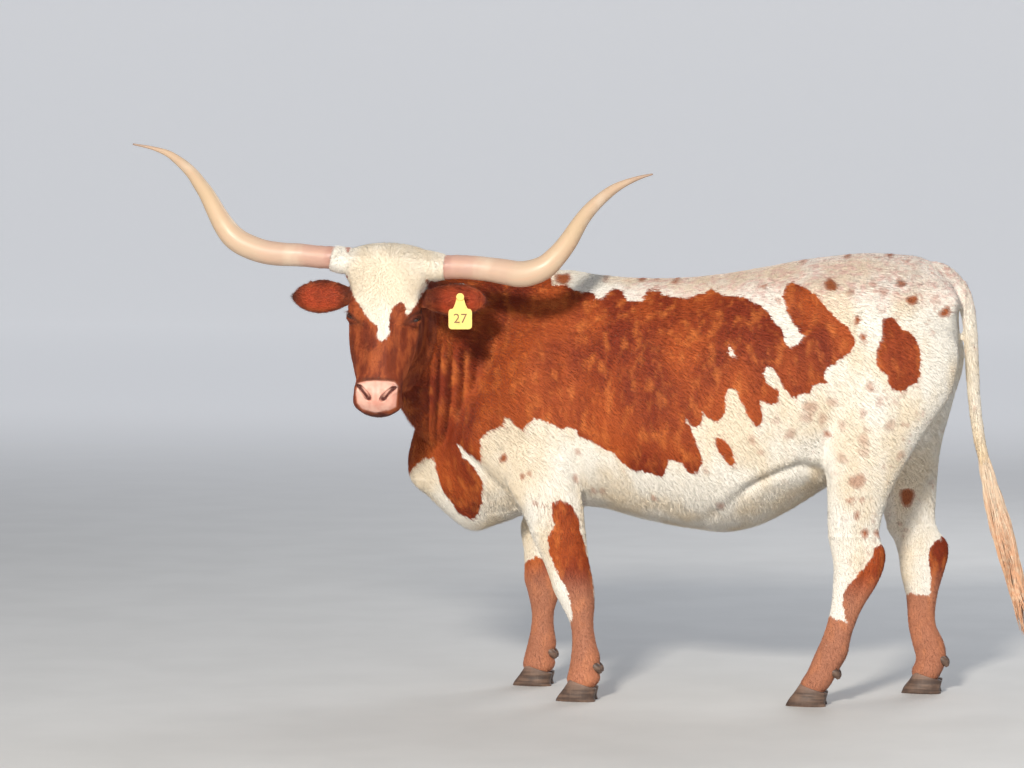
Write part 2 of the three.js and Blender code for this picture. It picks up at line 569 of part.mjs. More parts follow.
function lockSolid(from, angle, length, width, bend) {
  const [x, y, z, r] = switchPoint(from);
  const out = new THREE.Vector3(Math.cos(angle), Math.sin(angle), 0);
  const fall = new THREE.Vector3(0.25, -0.085, -1).normalize();
  const across = new THREE.Vector3().crossVectors(fall, out).normalize();
  const root = new THREE.Vector3(x, y, z).addScaledVector(out, r * 0.35);
  const stations = [0, 0.2, 0.45, 0.72, 1];
  const rings = stations.map((t) => {
    const at = root
      .clone()
      .addScaledVector(fall, length * t)
      .addScaledVector(out, (r * 0.62 + 10) * Math.sin(Math.min(t * 2.4, 1.4)) - 8 * t * t)
      .addScaledVector(across, bend * t * t);
    const wide = width * Math.sqrt(Math.sin(Math.min(t * 2.2 + 0.45, Math.PI / 2))) * (1 - 0.86 * t ** 2.2);
    return ring({ at, side: across, up: out, half: wide, rise: 6 * (1 - 0.8 * t), drop: 6 * (1 - 0.8 * t) }, 4);
  });
  return asManifold(skinOver(rings));
}

function switchSolid() {
  const random = seeded(7);
  const locks = lockRows.flatMap(({ from, count, length, width }, row) =>
    Array.from({ length: count }, (_, i) => {
      const angle = ((i + 0.5 * (row % 2) + 0.3 * (random() - 0.5)) / count) * 2 * Math.PI;
      const long = length * (0.88 + 0.24 * random());
      return lockSolid(from + 0.3 * (random() - 0.5), angle, long, width * (0.85 + 0.3 * random()), 26 * (random() - 0.5));
    }),
  );
  return union([tube(switchStops, 8, 1), ...locks]);
}

// A small dry udder high between the thighs, with four short teats.
function udderSolid(grow = 0) {
  const stations = [
    { x: 452, half: 22, rise: 60, drop: 10 },
    { x: 475, half: 55, rise: 80, drop: 38 },
    { x: 515, half: 70, rise: 90, drop: 56 },
    { x: 560, half: 68, rise: 90, drop: 58 },
    { x: 600, half: 52, rise: 90, drop: 40 },
    { x: 622, half: 24, rise: 70, drop: 14 },
  ];
  const bag = stations.map(({ x, half, rise, drop }) =>
    ring({ at: [x, 0, 690], side: axisY, up: axisZ, half: half + grow, rise, drop: drop + grow }, 16),
  );
  const teats = [[505, 34], [505, -34], [572, 32], [572, -32]].map(([x, y]) =>
    tube([[x, y, 670, 13], [x, y * 1.05, 630, 11], [x, y * 1.12, 600, 9.5], [x, y * 1.15, 588, 5]], 8, 1),
  );
  return union([asManifold(skinOver(bag)), ...teats]);
}

// The ear tag: a yellow plate with a tapered neck, held by a stud through the ear.
const tag = { wide: 70, tall: 64, neck: 36, thick: 3, corner: 12, stud: 4 };
const tagSpot = 0.6; // share of the ear's length where the stud passes

function tagPieces() {
  const { root, ahead, open, length } = earFrame("left");
  const cup = 31.5;
  const hole = root.clone().addScaledVector(ahead, tagSpot * length).addScaledVector(open, -cup);
  const facing = open;
  const hangs = new THREE.Vector3(0, 0, -1).addScaledVector(facing, facing.z).normalize();
  const across = new THREE.Vector3().crossVectors(hangs, facing);
  const basis = new THREE.Matrix4().makeBasis(across, hangs, facing);
  const front = hole.clone().addScaledVector(open, 47);
  const place = (geometry, at) => asSolid(geometry.applyMatrix4(basis).translate(...at.toArray()));
  const half = tag.wide / 2;
  const top = tag.neck;
  const low = top + tag.tall;
  const c = tag.corner;
  const shape = new THREE.Shape();
  shape.moveTo(-9, -8);
  shape.quadraticCurveTo(0, -14, 9, -8);
  shape.quadraticCurveTo(13, 18, 20, top - 4);
  shape.lineTo(half - c, top);
  shape.quadraticCurveTo(half, top, half, top + c);
  shape.lineTo(half, low - c);
  shape.quadraticCurveTo(half, low, half - c, low);
  shape.lineTo(c - half, low);
  shape.quadraticCurveTo(-half, low, -half, low - c);
  shape.lineTo(-half, top + c);
  shape.quadraticCurveTo(-half, top, c - half, top);
  shape.lineTo(-20, top - 4);
  shape.quadraticCurveTo(-13, 18, -9, -8);
  const plate = new THREE.ExtrudeGeometry(shape, { depth: tag.thick, bevelEnabled: false, curveSegments: 4 });
  const shaft = (radius, length) => new THREE.CylinderGeometry(radius, radius, length, 12).rotateX(Math.PI / 2);
  const pin = (grow) => place(shaft(tag.stud + grow, 66), hole.clone().addScaledVector(open, 22));
  const button = place(shaft(12, 4), front.clone().addScaledVector(open, tag.thick + gap + 2));
  const backing = place(shaft(14, 3), hole.clone().addScaledVector(open, -8));
  return {
    plate: place(plate, front).subtract(pin(gap)),
    stud: union([pin(0), button, backing]),
    bore: pin(gap),
  };
}

// A thin bent wall, to cut the line of the mouth: it follows the lips round the muzzle.
function mouthCut() {
  const depth = 10;
  const path = [];
  for (let i = 0; i <= 16; i++) {
    const angle = -Math.PI * 0.5 + (Math.PI * i) / 16;
    const back = Math.cos(angle);
    path.push([Math.sin(angle) * 82, 487 - (1 - back) * 60, -60 - (1 - back) * 52]);
  }
  const rings = path.map(([left, down, out], i) => {
    const inward = new THREE.Vector3(-Math.sin(-Math.PI * 0.5 + (Math.PI * i) / 16), -0.75, -0.55).normalize();
    const corners = [[-1.6, 14], [1.6, 14], [1.6, -depth], [-1.6, -depth]];
    return corners.map(([thin, reach]) =>
      inHead(left - inward.x * reach, down - inward.y * reach + thin * 0.8, out - inward.z * reach - thin),
    );
  });
  return asManifold(skinOver(rings));
}

// A nostril: a comma-shaped pocket, wide at its inner end and drawn out up and sideways.
function nostrilCut(sign) {
  const stops = [
    [22, 466, -28, 7], [28, 461, -11, 9.5], [37, 450, -5, 9], [47, 439, -6, 7], [56, 431, -17, 4.5],
  ].map(([left, down, out, r]) => [...inHead(sign * left, down, out).toArray(), r]);
  return tube(stops, 8, 2, { along: head.out, by: 1.7 });
}

// The eye looks outwards and a little forward. Its corners lie on a line that runs forward and down.
const gaze = { looks: [0.82, -0.04, 0.57], corners: [-0.56, 0.3, 0.77] };

// The rim of the upper or lower eyelid, from corner to corner round the ball of the eye.
function lidRim(sign, upper) {
  const { left, down, out, radius } = eyeSpot;
  const looks = vector(gaze.looks).normalize();
  const corner = vector(gaze.corners).addScaledVector(looks, -looks.dot(vector(gaze.corners))).normalize();
  const over = new THREE.Vector3().crossVectors(corner, looks);
  if (over.y > 0) over.negate();
  const stops = [];
  for (let i = 0; i <= 6; i++) {
    const angle = (Math.PI * i) / 6;
    const open = Math.sin(angle) * (upper ? 0.5 : -0.42);
    const spot = corner.clone().multiplyScalar(Math.cos(angle) * 0.93).addScaledVector(over, open);
    spot.addScaledVector(looks, Math.sqrt(Math.max(1 - spot.lengthSq(), 0.02)));
    spot.normalize().multiplyScalar(radius + 1.5);
    const thick = (upper ? 6 : 4.6) * (0.7 + 0.3 * Math.sin(angle));
    stops.push([...inHead(sign * (left + spot.x), down + spot.y, out + spot.z).toArray(), thick]);
  }
  return tube(stops, 6, 1, { along: head.left, by: 1 });
}

const ball = ({ left, down, out, radius }, sign, grow, across, tall) =>
  asSolid(new THREE.SphereGeometry(radius + grow, across, tall).translate(...inHead(sign * left, down, out).toArray()));

// Whole flesh, then the cuts that part it.
const legs = {
  foreleg_left: { stations: foreLeft, sign: -1, split: 372, cut: 560, box: [-510, -285], inner: 60, toe: -388 },
  foreleg_right: { stations: foreRight, sign: 1, split: 372, cut: 560, box: [-560, -325], inner: 60, toe: -570 },
  hindleg_left: { stations: hindLeft, sign: -1, split: 520, cut: 650, box: [418, 900], inner: 72, toe: 314 },
  hindleg_right: { stations: hindRight, sign: 1, split: 520, cut: 650, box: [418, 900], inner: 72, toe: 645 },
};
const legSides = 14;
const trunk = union([torsoLoft(26, 1), neckLoft(22, 2)]);
const limbs = Object.fromEntries(
  Object.entries(legs).map(([name, { stations, sign }]) => [name, legLoft(stations, sign, legSides, 1)]),
);
const nodes = {};

const neckPlane = { at: [-610, 0, 985], normal: [-0.832, 0, 0.555] };
const behindPoll = { at: inHead(0, 120, -128).toArray(), normal: head.out.clone().addScaledVector(head.down, 0.18).toArray() };
const facesOf = ({ at, normal }) => [beyond(at, normal), beyond(at, normal.map((v) => -v))];
const [frontOfShoulder, backOfShoulder] = facesOf(neckPlane);
const [faceSide, napeSide] = facesOf(behindPoll);

const skull = union([headLoft(28, 1), hornCollar("left", 14), hornCollar("right", 14)]);
const front = union([trunk, skull]).intersect(frontOfShoulder);
nodes.neck = front.intersect(napeSide);
let headFlesh = front.intersect(faceSide);

for (const [name, sign] of [["left", 1], ["right", -1]]) {
  const hornPlane = { at: inHead(sign * hornRoot, 44, -42).toArray(), normal: head.left.clone().multiplyScalar(sign).toArray() };
  const [outer, inner] = facesOf(hornPlane);
  nodes["horn_" + name] = hornSolid(name, 14, 1).intersect(outer);
  headFlesh = headFlesh.intersect(inner);
  const { root, ahead, length } = earFrame(name);
  const earPlane = { at: root.clone().addScaledVector(ahead, 0.14 * length).toArray(), normal: ahead.toArray() };
  const [tipSide, rootSide] = facesOf(earPlane);
  const ear = earSolid(name, 8, 2);
  nodes["ear_" + name] = ear.intersect(tipSide);
  headFlesh = union([headFlesh, ear.intersect(rootSide)]);
  headFlesh = union([headFlesh, lidRim(sign, true), lidRim(sign, false)]);
  headFlesh = headFlesh.subtract(ball(eyeSpot, sign, gap, 14, 9)).subtract(nostrilCut(sign));
  nodes["eye_" + name] = ball(eyeSpot, sign, 0, 14, 9);
}
nodes.head = headFlesh.subtract(mouthCut());

const tagParts = tagPieces();
nodes.ear_left = nodes.ear_left.subtract(tagParts.bore);
nodes.ear_tag = tagParts.plate;
nodes.ear_tag_stud = tagParts.stud;

const tail = tube(tailStops, 12, 2);
const [tailBelow, tailAbove] = facesOf(tailCut);
const [switchBelow, switchAbove] = facesOf(switchCut);
nodes.tail = tail.intersect(tailBelow).intersect(switchAbove);
nodes.tail_switch = switchSolid().intersect(switchBelow);

const udder = udderSolid();
const udderLevel = 672;
nodes.udder = udder.intersect(beyond([0, 0, udderLevel], [0, 0, -1]));
let torso = union([
  trunk.intersect(backOfShoulder).subtract(udderSolid(gap).intersect(beyond([0, 0, udderLevel + gap], [0, 0, -1]))),
  udder.intersect(beyond([0, 0, udderLevel], [0, 0, 1])),
  tail.intersect(tailAbove),
]);

for (const [name, { stations, sign, split, cut, box, inner, toe }] of Object.entries(legs)) {
  const sideways = (a, b) => (sign > 0 ? [a, b] : [-b, -a]);
  const [near, far] = sideways(inner, 500);
  const [nearGap, farGap] = sideways(inner - gap, 500);
  const legSpace = union([
    block([box[0], near, 400], [box[1], far, cut - gap / 2]),
    block([-1000, near, -50], [1200, far, 480]),
  ]);
  const torsoClear = block([box[0] - gap, nearGap, -50], [box[1] + gap, farGap, cut + gap / 2]);
  const below = union([limbs[name], torso]).intersect(legSpace);
  torso = union([torso, limbs[name]]).subtract(torsoClear);
  const upperSpace = beyond([0, 0, split], [0, 0, 1]);
  const lowerSpace = beyond([0, 0, split], [0, 0, -1]);
  nodes[name + "_upper"] = below.intersect(upperSpace);
  let lower = below.intersect(lowerSpace).intersect(aboveCoronet(toe, 1));
  const footY = sign * stations.at(-1).y;
  const fetlock = refine(stations.map(({ z, ...sizes }) => ({ depth: -z, ...sizes })), 4).find(({ depth }) => depth > -112);
  for (const [claw, side] of [["outer", sign], ["inner", -sign]]) {
    const y = footY + side * (hoof.half + hoof.cleft / 2);
    nodes[`${name}_claw_${claw}`] = clawSolid(toe, y, 12).intersect(aboveCoronet(toe, -1));
    const dewY = footY + side * 21;
    nodes[`${name}_dewclaw_${claw}`] = dewclaw(fetlock.rear, -fetlock.depth, dewY, 0, 8);
    lower = lower.subtract(dewclaw(fetlock.rear, -fetlock.depth, dewY, gap, 8));
  }
  const cleft = block([toe - 60, footY - hoof.cleft / 2, -50], [toe + 70, footY + hoof.cleft / 2, 96]);
  nodes[name + "_lower"] = lower.subtract(cleft);
}
nodes.torso = torso;

const finishes = [
  [/^horn/, hornCream], [/claw/, hoofDark], [/^eye/, eyeDark], [/^udder/, udderPink], [/switch/, switchCream],
  [/^ear_tag/, tagYellow], [/^(torso|hindleg.*upper|tail)/, coatWhite], [/./, coatRed],
];

const longhorn = new THREE.Group();
for (const [name, solid] of Object.entries(nodes)) {
  const { vertProperties, triVerts, numProp } = largest(solid).getMesh();
  const corners = [];
  for (let i = 0; i < vertProperties.length; i += numProp) corners.push(...vertProperties.subarray(i, i + 3));
  const geometry = new THREE.BufferGeometry()
    .setAttribute("position", new THREE.Float32BufferAttribute(corners, 3))
    .setIndex([...triVerts]);
  const mesh = new THREE.Mesh(geometry, new THREE.MeshStandardMaterial(finishes.find(([match]) => match.test(name))[1]));
  mesh.name = name;
  longhorn.add(mesh);
}
longhorn.position.set(-originX, -originY, 0);
export default longhorn;
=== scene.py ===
import math

import bmesh
import bpy
import numpy as np
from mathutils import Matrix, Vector
from mathutils.bvhtree import BVHTree


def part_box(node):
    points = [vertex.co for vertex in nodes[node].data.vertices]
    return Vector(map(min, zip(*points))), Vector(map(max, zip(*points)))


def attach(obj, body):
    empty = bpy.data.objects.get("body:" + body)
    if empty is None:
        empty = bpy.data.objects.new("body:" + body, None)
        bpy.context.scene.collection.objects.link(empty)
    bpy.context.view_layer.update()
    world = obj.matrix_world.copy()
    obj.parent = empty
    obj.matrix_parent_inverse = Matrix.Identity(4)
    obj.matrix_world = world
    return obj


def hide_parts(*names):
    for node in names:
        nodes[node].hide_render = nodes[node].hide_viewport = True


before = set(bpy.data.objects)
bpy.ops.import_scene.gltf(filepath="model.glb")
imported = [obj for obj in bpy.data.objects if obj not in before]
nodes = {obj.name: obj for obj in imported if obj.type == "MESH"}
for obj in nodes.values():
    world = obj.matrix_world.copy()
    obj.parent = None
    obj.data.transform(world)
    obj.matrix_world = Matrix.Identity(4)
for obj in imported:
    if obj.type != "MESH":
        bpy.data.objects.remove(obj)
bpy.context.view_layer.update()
scene = bpy.context.scene

# The measures below are in millimetres from a point under the back, as part.mjs has them.
# The row's own origin lies elsewhere, so home() brings points to it and turns them into metres.
home_shift = np.array([305.0, 131.0, 0.0])


def home(points):
    return (np.asarray(points, float) + home_shift) / 1000


def away(points):
    return np.asarray(points, float) * 1000 - home_shift


# The camera stands 12 m off with a long lens, at the height of a standing person and a little
# towards the hindquarters from square to the side. seen() gives a point's place in the photograph,
# in its pixels.
photo_wide, photo_tall = 1024, 768
lens_pixels = 3912.0
stand_off, eye_level, aft_of_side = 12000.0, 1650.0, math.radians(6)
turned_left, tipped_down = math.radians(2.605), math.radians(3.298)
camera_data = bpy.data.cameras.new("camera")
camera_data.sensor_width = 36
camera_data.lens = lens_pixels / photo_wide * camera_data.sensor_width
camera = bpy.data.objects.new("camera", camera_data)
scene.collection.objects.link(camera)
scene.camera = camera
camera_at = [stand_off * math.sin(aft_of_side), -stand_off * math.cos(aft_of_side), eye_level]
camera_at = np.array(camera_at)
camera.location = home(camera_at)
camera.rotation_euler = (math.pi / 2 - tipped_down, 0, aft_of_side + turned_left)
camera_axes = np.array(camera.rotation_euler.to_matrix()).T


def seen(points):
    right, up, back = ((np.asarray(points) - camera_at) @ camera_axes.T).T
    across = photo_wide / 2 - lens_pixels * right / back
    down = photo_tall / 2 + lens_pixels * up / back
    return np.stack([across, down], 1)


# Shapes of flesh are stacks of oval rings. Stations in between run smoothly from one to the next,
# and each stack becomes a closed mesh.
def between(stations, steps):
    rows = np.array(stations, float)
    step = np.diff(rows[:, 0])[:, None]
    rise = np.diff(rows, axis=0) / step
    slope = np.empty_like(rows)
    slope[0], slope[-1] = rise[0], rise[-1]
    slope[1:-1] = (rise[:-1] * step[1:] + rise[1:] * step[:-1]) / (step[1:] + step[:-1])
    out = []
    for i, h in enumerate(step[:, 0]):
        for t in np.arange(steps) / steps:
            mix = rows[i] * (1 + 2 * t) * (1 - t) ** 2 + rows[i + 1] * t * t * (3 - 2 * t)
            out.append(mix + slope[i] * h * t * (1 - t) ** 2 - slope[i + 1] * h * t * t * (1 - t))
    out.append(rows[-1])
    return np.array(out)


def oval(at, side, up, half, rise, drop, roof=2.0, keel=2.0, egg=0.0, sides=64):
    angle = (np.arange(sides) + 0.5) / sides * 2 * np.pi
    c, s = np.cos(angle), np.sin(angle)
    power = np.where(s > 0, 2 / roof, 2 / keel)
    across = np.sign(c) * np.abs(c) ** power
    along = np.sign(s) * np.abs(s) ** power
    wide = half * across * (1 + egg * along)
    tall = np.where(s > 0, rise, drop) * along
    middle = np.asarray(at)[None] + wide[:, None] * np.asarray(side)[None]
    return middle + tall[:, None] * np.asarray(up)[None]


def closed(name, rings):
    rings = np.asarray(rings)
    count, sides = rings.shape[:2]
    points = np.concatenate([rings.reshape(-1, 3), rings[[0, -1]].mean(1)])
    here = (np.arange(count - 1)[:, None] * sides + np.arange(sides)[None]).ravel()
    turned = (np.arange(count - 1)[:, None] * sides + np.roll(np.arange(sides), -1)[None]).ravel()
    faces = [tuple(f) for f in np.stack([here, turned, turned + sides, here + sides], 1).tolist()]
    last = (count - 1) * sides
    for i in range(sides):
        j = (i + 1) % sides
        faces.append((count * sides, j, i))
        faces.append((count * sides + 1, last + i, last + j))
    mesh = bpy.data.meshes.new(name)
    mesh.from_pydata(home(points).tolist(), [], faces)
    work = bmesh.new()
    work.from_mesh(mesh)
    bmesh.ops.recalc_face_normals(work, faces=work.faces)
    if work.calc_volume(signed=True) < 0:
        bmesh.ops.reverse_faces(work, faces=work.faces)
    work.to_mesh(mesh)
    work.free()
    piece = bpy.data.objects.new(name, mesh)
    scene.collection.objects.link(piece)
    return piece


def swollen(points, bumps):
    moved = np.array(points, float)
    for at, spread, push in bumps:
        far = (((points - np.array(at, float)) / np.array(spread, float)) ** 2).sum(-1)
        moved = moved + np.exp(-far)[..., None] * np.array(push, float)
    return moved


def both_sides(bumps):
    def flip(v):
        return (v[0], -v[1], v[2])

    return bumps + [(flip(at), spread, flip(push)) for at, spread, push in bumps]


def tube(name, stops, sides=24, steps=4, flat=(0, 1, 0), by=1.0):
    rows = between([(i, *stop) for i, stop in enumerate(stops)], steps)
    places, radii = rows[:, 1:4], rows[:, 4]
    ahead = np.gradient(places, axis=0)
    ahead /= np.linalg.norm(ahead, axis=1)[:, None]
    rings = []
    for place, way, r in zip(places, ahead, radii):
        side = np.array(flat, float) - way * np.dot(flat, way)
        side /= np.linalg.norm(side)
        rings.append(oval(place, side, np.cross(side, way), r * by, r, r, sides=sides))
    return closed(name, rings)


def merged(name, pieces, voxel, rounds):
    # One closed surface over overlapping pieces, evened out a little.
    graph = bmesh.new()
    for piece in pieces:
        graph.from_mesh(piece.data)
        bpy.data.objects.remove(piece)
    mesh = bpy.data.meshes.new(name)
    graph.to_mesh(mesh)
    graph.free()
    whole = bpy.data.objects.new(name, mesh)
    scene.collection.objects.link(whole)
    remesh = whole.modifiers.new("remesh", "REMESH")
    remesh.mode = "VOXEL"
    remesh.voxel_size = voxel
    smooth = whole.modifiers.new("smooth", "SMOOTH")
    smooth.factor = 0.5
    smooth.iterations = rounds
    applied(whole)
    return whole


def applied(piece):
    graph = bpy.context.evaluated_depsgraph_get()
    mesh = bpy.data.meshes.new_from_object(piece.evaluated_get(graph))
    piece.modifiers.clear()
    piece.data = mesh


def shade_smooth(mesh):
    mesh.polygons.foreach_set("use_smooth", [True] * len(mesh.polygons))


# Barrel, chest and croup, ring by ring from the brisket to the buttocks: x, top, widest level,
# bottom, half width, roof, keel.
torso_stations = [
    (-880, 733, 702, 672, 12, 2, 2),
    (-862, 798, 712, 647, 48, 2, 2),
    (-815, 903, 730, 607, 86, 2, 1.8),
    (-750, 1018, 760, 545, 126, 2, 1.6),
    (-680, 1118, 785, 499, 163, 2, 1.5),
    (-600, 1193, 800, 520, 191, 1.9, 1.6),
    (-500, 1283, 820, 555, 213, 1.75, 1.8),
    (-400, 1310, 840, 577, 226, 1.65, 1.9),
    (-280, 1296, 840, 580, 240, 1.7, 2),
    (-150, 1286, 830, 548, 268, 1.8, 2),
    (0, 1289, 820, 520, 293, 1.85, 2),
    (130, 1304, 830, 510, 301, 1.9, 2),
    (240, 1323, 860, 542, 295, 2, 2),
    (340, 1342, 900, 600, 276, 2.15, 2.1),
    (430, 1354, 950, 657, 256, 2.3, 2.2),
    (530, 1364, 990, 702, 244, 2.2, 2.2),
    (630, 1361, 1020, 792, 228, 2.05, 2.2),
    (715, 1348, 1045, 872, 194, 1.9, 2.2),
    (775, 1310, 1065, 947, 153, 1.9, 2.2),
    (812, 1248, 1085, 992, 106, 2, 2),
    (828, 1163, 1095, 1032, 48, 2, 2),
]
torso_bumps = both_sides([
    ((405, 225, 1265), (62, 60, 48), (0, 34, 14)),
    ((790, 95, 1225), (45, 42, 45), (26, 16, 6)),
    ((330, 215, 1175), (75, 60, 85), (0, -30, -6)),
    ((-640, 180, 800), (90, 80, 110), (-4, 16, 0)),
    ((-470, 195, 980), (95, 80, 190), (0, 20, 0)),
    ((-320, 240, 1000), (50, 90, 170), (0, -12, 0)),
    ((560, 245, 1020), (120, 90, 130), (0, 14, 0)),
]) + [((830, 0, 1150), (50, 34, 110), (-24, 0, 0))]
rings = []
for x, top, wide, bottom, half, roof, keel in between(torso_stations, 5):
    rise, drop = top - wide, wide - bottom
    rings.append(oval((x, 0, wide), (0, 1, 0), (0, 0, 1), half, rise, drop, roof, keel, sides=96))
flesh = [closed("torso_flesh", swollen(np.array(rings), torso_bumps))]

# The neck bends from straight ahead round to the turned head: place, heading, climb, half width,
# rise, drop, roof, keel.
neck_stations = [
    (0, -420, 0, 965, 0, 2, 188, 350, 328, 1.6, 1.8),
    (1, -550, -4, 980, 8, 4, 164, 344, 328, 1.6, 1.6),
    (2, -665, -28, 1005, 26, 9, 142, 320, 303, 1.7, 1.5),
    (3, -760, -90, 1045, 50, 16, 124, 286, 260, 1.8, 1.5),
    (4, -820, -175, 1095, 70, 23, 110, 248, 208, 1.9, 1.6),
    (5, -848, -262, 1145, 82, 26, 102, 206, 166, 2, 1.8),
    (6, -858, -345, 1190, 88, 26, 94, 158, 128, 2, 2),
]
rings = []
for _, x, y, z, turn, climb, half, rise, drop, roof, keel in between(neck_stations, 8):
    t, c = math.radians(turn), math.radians(climb)
    ahead = np.array([-math.cos(t) * math.cos(c), -math.sin(t) * math.cos(c), math.sin(c)])
    side = np.cross(ahead, (0, 0, 1))
    side /= np.linalg.norm(side)
    rings.append(oval((x, y, z), side, np.cross(side, ahead), half, rise, drop, roof, keel, sides=80))
flesh.append(closed("neck_flesh", rings))

# Legs, as level rings: height, front, rear, place sideways, half width, nose, heel, egg. The far
# legs are the near ones shifted along the body by a guide that changes with height.
fore_stations = [
    (880, -540, -380, 140, 50, 2, 2, 0),
    (800, -555, -350, 156, 62, 2, 2, 0),
    (730, -555, -325, 166, 70, 2, 2, 0),
    (650, -538, -312, 168, 68, 2, 2, 0),
    (570, -497, -302, 168, 61, 2, 2, 0),
    (490, -463, -296, 167, 54, 2, 2, 0.05),
    (420, -430, -287, 166, 47, 2, 2, 0.05),
    (375, -412, -277, 166, 46, 2.3, 2, 0.05),
    (332, -398, -271, 166, 48, 2.4, 2.1, 0.08),
    (292, -377, -271, 166, 41, 2.2, 2.1, 0.05),
    (230, -348, -274, 166, 31, 2, 2.2, 0),
    (175, -343, -266, 166, 32, 2, 2.2, 0),
    (132, -346, -254, 166, 40, 2.1, 2.3, 0),
    (92, -352, -256, 166, 43, 2.2, 2.2, 0),
    (62, -358, -254, 166, 49, 2.4, 2.3, 0),
    (42, -350, -268, 166, 46, 2.4, 2.3, 0),
    (24, -338, -288, 166, 38, 2.4, 2.3, 0),
]
hind_stations = [
    (1265, 560, 700, 88, 42, 2, 2, 0),
    (1200, 515, 745, 105, 66, 2, 2, 0),
    (1110, 462, 818, 130, 97, 2, 2, 0),
    (1010, 425, 824, 145, 113, 2, 2, 0.05),
    (930, 405, 799, 150, 112, 2, 2, 0.1),
    (870, 398, 759, 156, 106, 2, 2, 0.1),
    (800, 404, 711, 162, 97, 2, 2, 0.1),
    (730, 420, 670, 168, 86, 2, 2, 0.1),
    (660, 431, 635, 172, 73, 2, 2, 0.1),
    (600, 434, 612, 173, 60, 2, 2, 0.15),
    (545, 434, 598, 173, 50, 2, 2, 0.22),
    (505, 438, 596, 172, 45, 2, 2, 0.28),
    (468, 446, 612, 171, 44, 2.1, 2.1, 0.25),
    (425, 453, 610, 170, 44, 2.2, 2.1, 0.2),
    (370, 452, 588, 170, 39, 2.2, 2, 0.12),
    (290, 444, 541, 170, 32, 2, 2.1, 0),
    (210, 422, 511, 170, 32, 2, 2.2, 0),
    (150, 396, 498, 170, 40, 2.1, 2.3, 0),
    (100, 375, 470, 170, 43, 2.2, 2.2, 0),
    (62, 354, 450, 170, 48, 2.4, 2.3, 0),
    (42, 358, 434, 170, 45, 2.4, 2.3, 0),
    (24, 370, 416, 170, 37, 2.4, 2.3, 0),
]
fore_guide = [
    (880, 0), (730, 0), (570, -40), (490, -88), (332, -140), (230, -168), (100, -186), (0, -182),
]
hind_guide = [
    (1265, 0), (930, 10), (800, 62), (660, 118), (600, 138), (505, 160), (468, 172), (370, 186),
    (290, 212), (210, 240), (100, 312), (0, 332),
]


def leg(name, stations, guide, sign):
    heights, shifts = zip(*guide[::-1])
    rows = np.array(stations, float)
    if sign > 0:
        moved = np.interp(rows[:, 0], heights, shifts)
        rows[:, 1] += moved
        rows[:, 2] += moved
    rows[:, 0] *= -1
    rings = []
    for depth, front, rear, y, half, nose, heel, egg in between(rows, 5):
        reach = (rear - front) / 2
        at = ((front + rear) / 2, sign * y, -depth)
        rings.append(oval(at, (0, 1, 0), (-1, 0, 0), half, reach, reach, nose, heel, egg, sides=48))
    return closed(name, rings)


flesh.append(leg("fore_left_flesh", fore_stations, fore_guide, -1))
flesh.append(leg("fore_right_flesh", fore_stations, fore_guide, 1))
flesh.append(leg("hind_left_flesh", hind_stations, hind_guide, -1))
flesh.append(leg("hind_right_flesh", hind_stations, hind_guide, 1))

# The tail, from inside the croup down to where the switch begins, and the udder with its teats.
tail_stops = [
    (690, 0, 1298, 38), (745, 0, 1306, 36), (790, -2, 1288, 32), (824, -5, 1249, 28),
    (843, -9, 1200, 25.5), (854, -14, 1130, 23.5), (860, -20, 1050, 22), (866, -27, 960, 20.5),
    (874, -34, 880, 19.5), (886, -41, 800, 18.5), (900, -47, 740, 17), (917, -53, 675, 13),
    (932, -58, 620, 9), (944, -62, 580, 5),
]
flesh.append(tube("tail_flesh", tail_stops, 24, 5))
udder_stations = [
    (452, 20, 58, 9), (475, 53, 78, 36), (515, 68, 88, 54), (560, 66, 88, 56), (600, 50, 88, 38),
    (622, 22, 68, 12),
]
udder_rings = []
for x, half, rise, drop in between(udder_stations, 6):
    udder_rings.append(oval((x, 0, 690), (0, 1, 0), (0, 0, 1), half, rise, drop, sides=40))
flesh.append(closed("udder_flesh", udder_rings))
for x, y in ((505, 34), (505, -34), (572, 32), (572, -32)):
    teat = [(x, y, 670, 12.5), (x, y * 1.05, 630, 10.5), (x, y * 1.12, 600, 9), (x, y * 1.15, 589, 5)]
    flesh.append(tube("teat_flesh", teat, 16, 4))
body_voxel, body_evening = 0.0066, 5
body = merged("body_skin", flesh, body_voxel, body_evening)

# The head has a frame of its own at the poll: left is the animal's own left, down runs along the
# face to the muzzle and out points out of the face.
head_turn, head_tilt, head_roll = math.radians(4), math.radians(18), math.radians(3)
poll = np.array([-861.0, -425.0, 1389.0])
looks = np.array([math.sin(head_turn), -math.cos(head_turn), 0])
face_down = looks * math.sin(head_tilt) - np.array([0, 0, math.cos(head_tilt)])
face_out = looks * math.cos(head_tilt) + np.array([0, 0, math.sin(head_tilt)])
face_left = np.cross(face_out, face_down)
face_left, face_down = (
    face_left * math.cos(head_roll) + face_down * math.sin(head_roll),
    face_down * math.cos(head_roll) - face_left * math.sin(head_roll),
)
head_axes = np.stack([face_left, face_down, face_out])


def in_head(points):
    return poll + np.asarray(points, float) @ head_axes


def from_head(points):
    return (np.asarray(points, float) - poll) @ head_axes.T


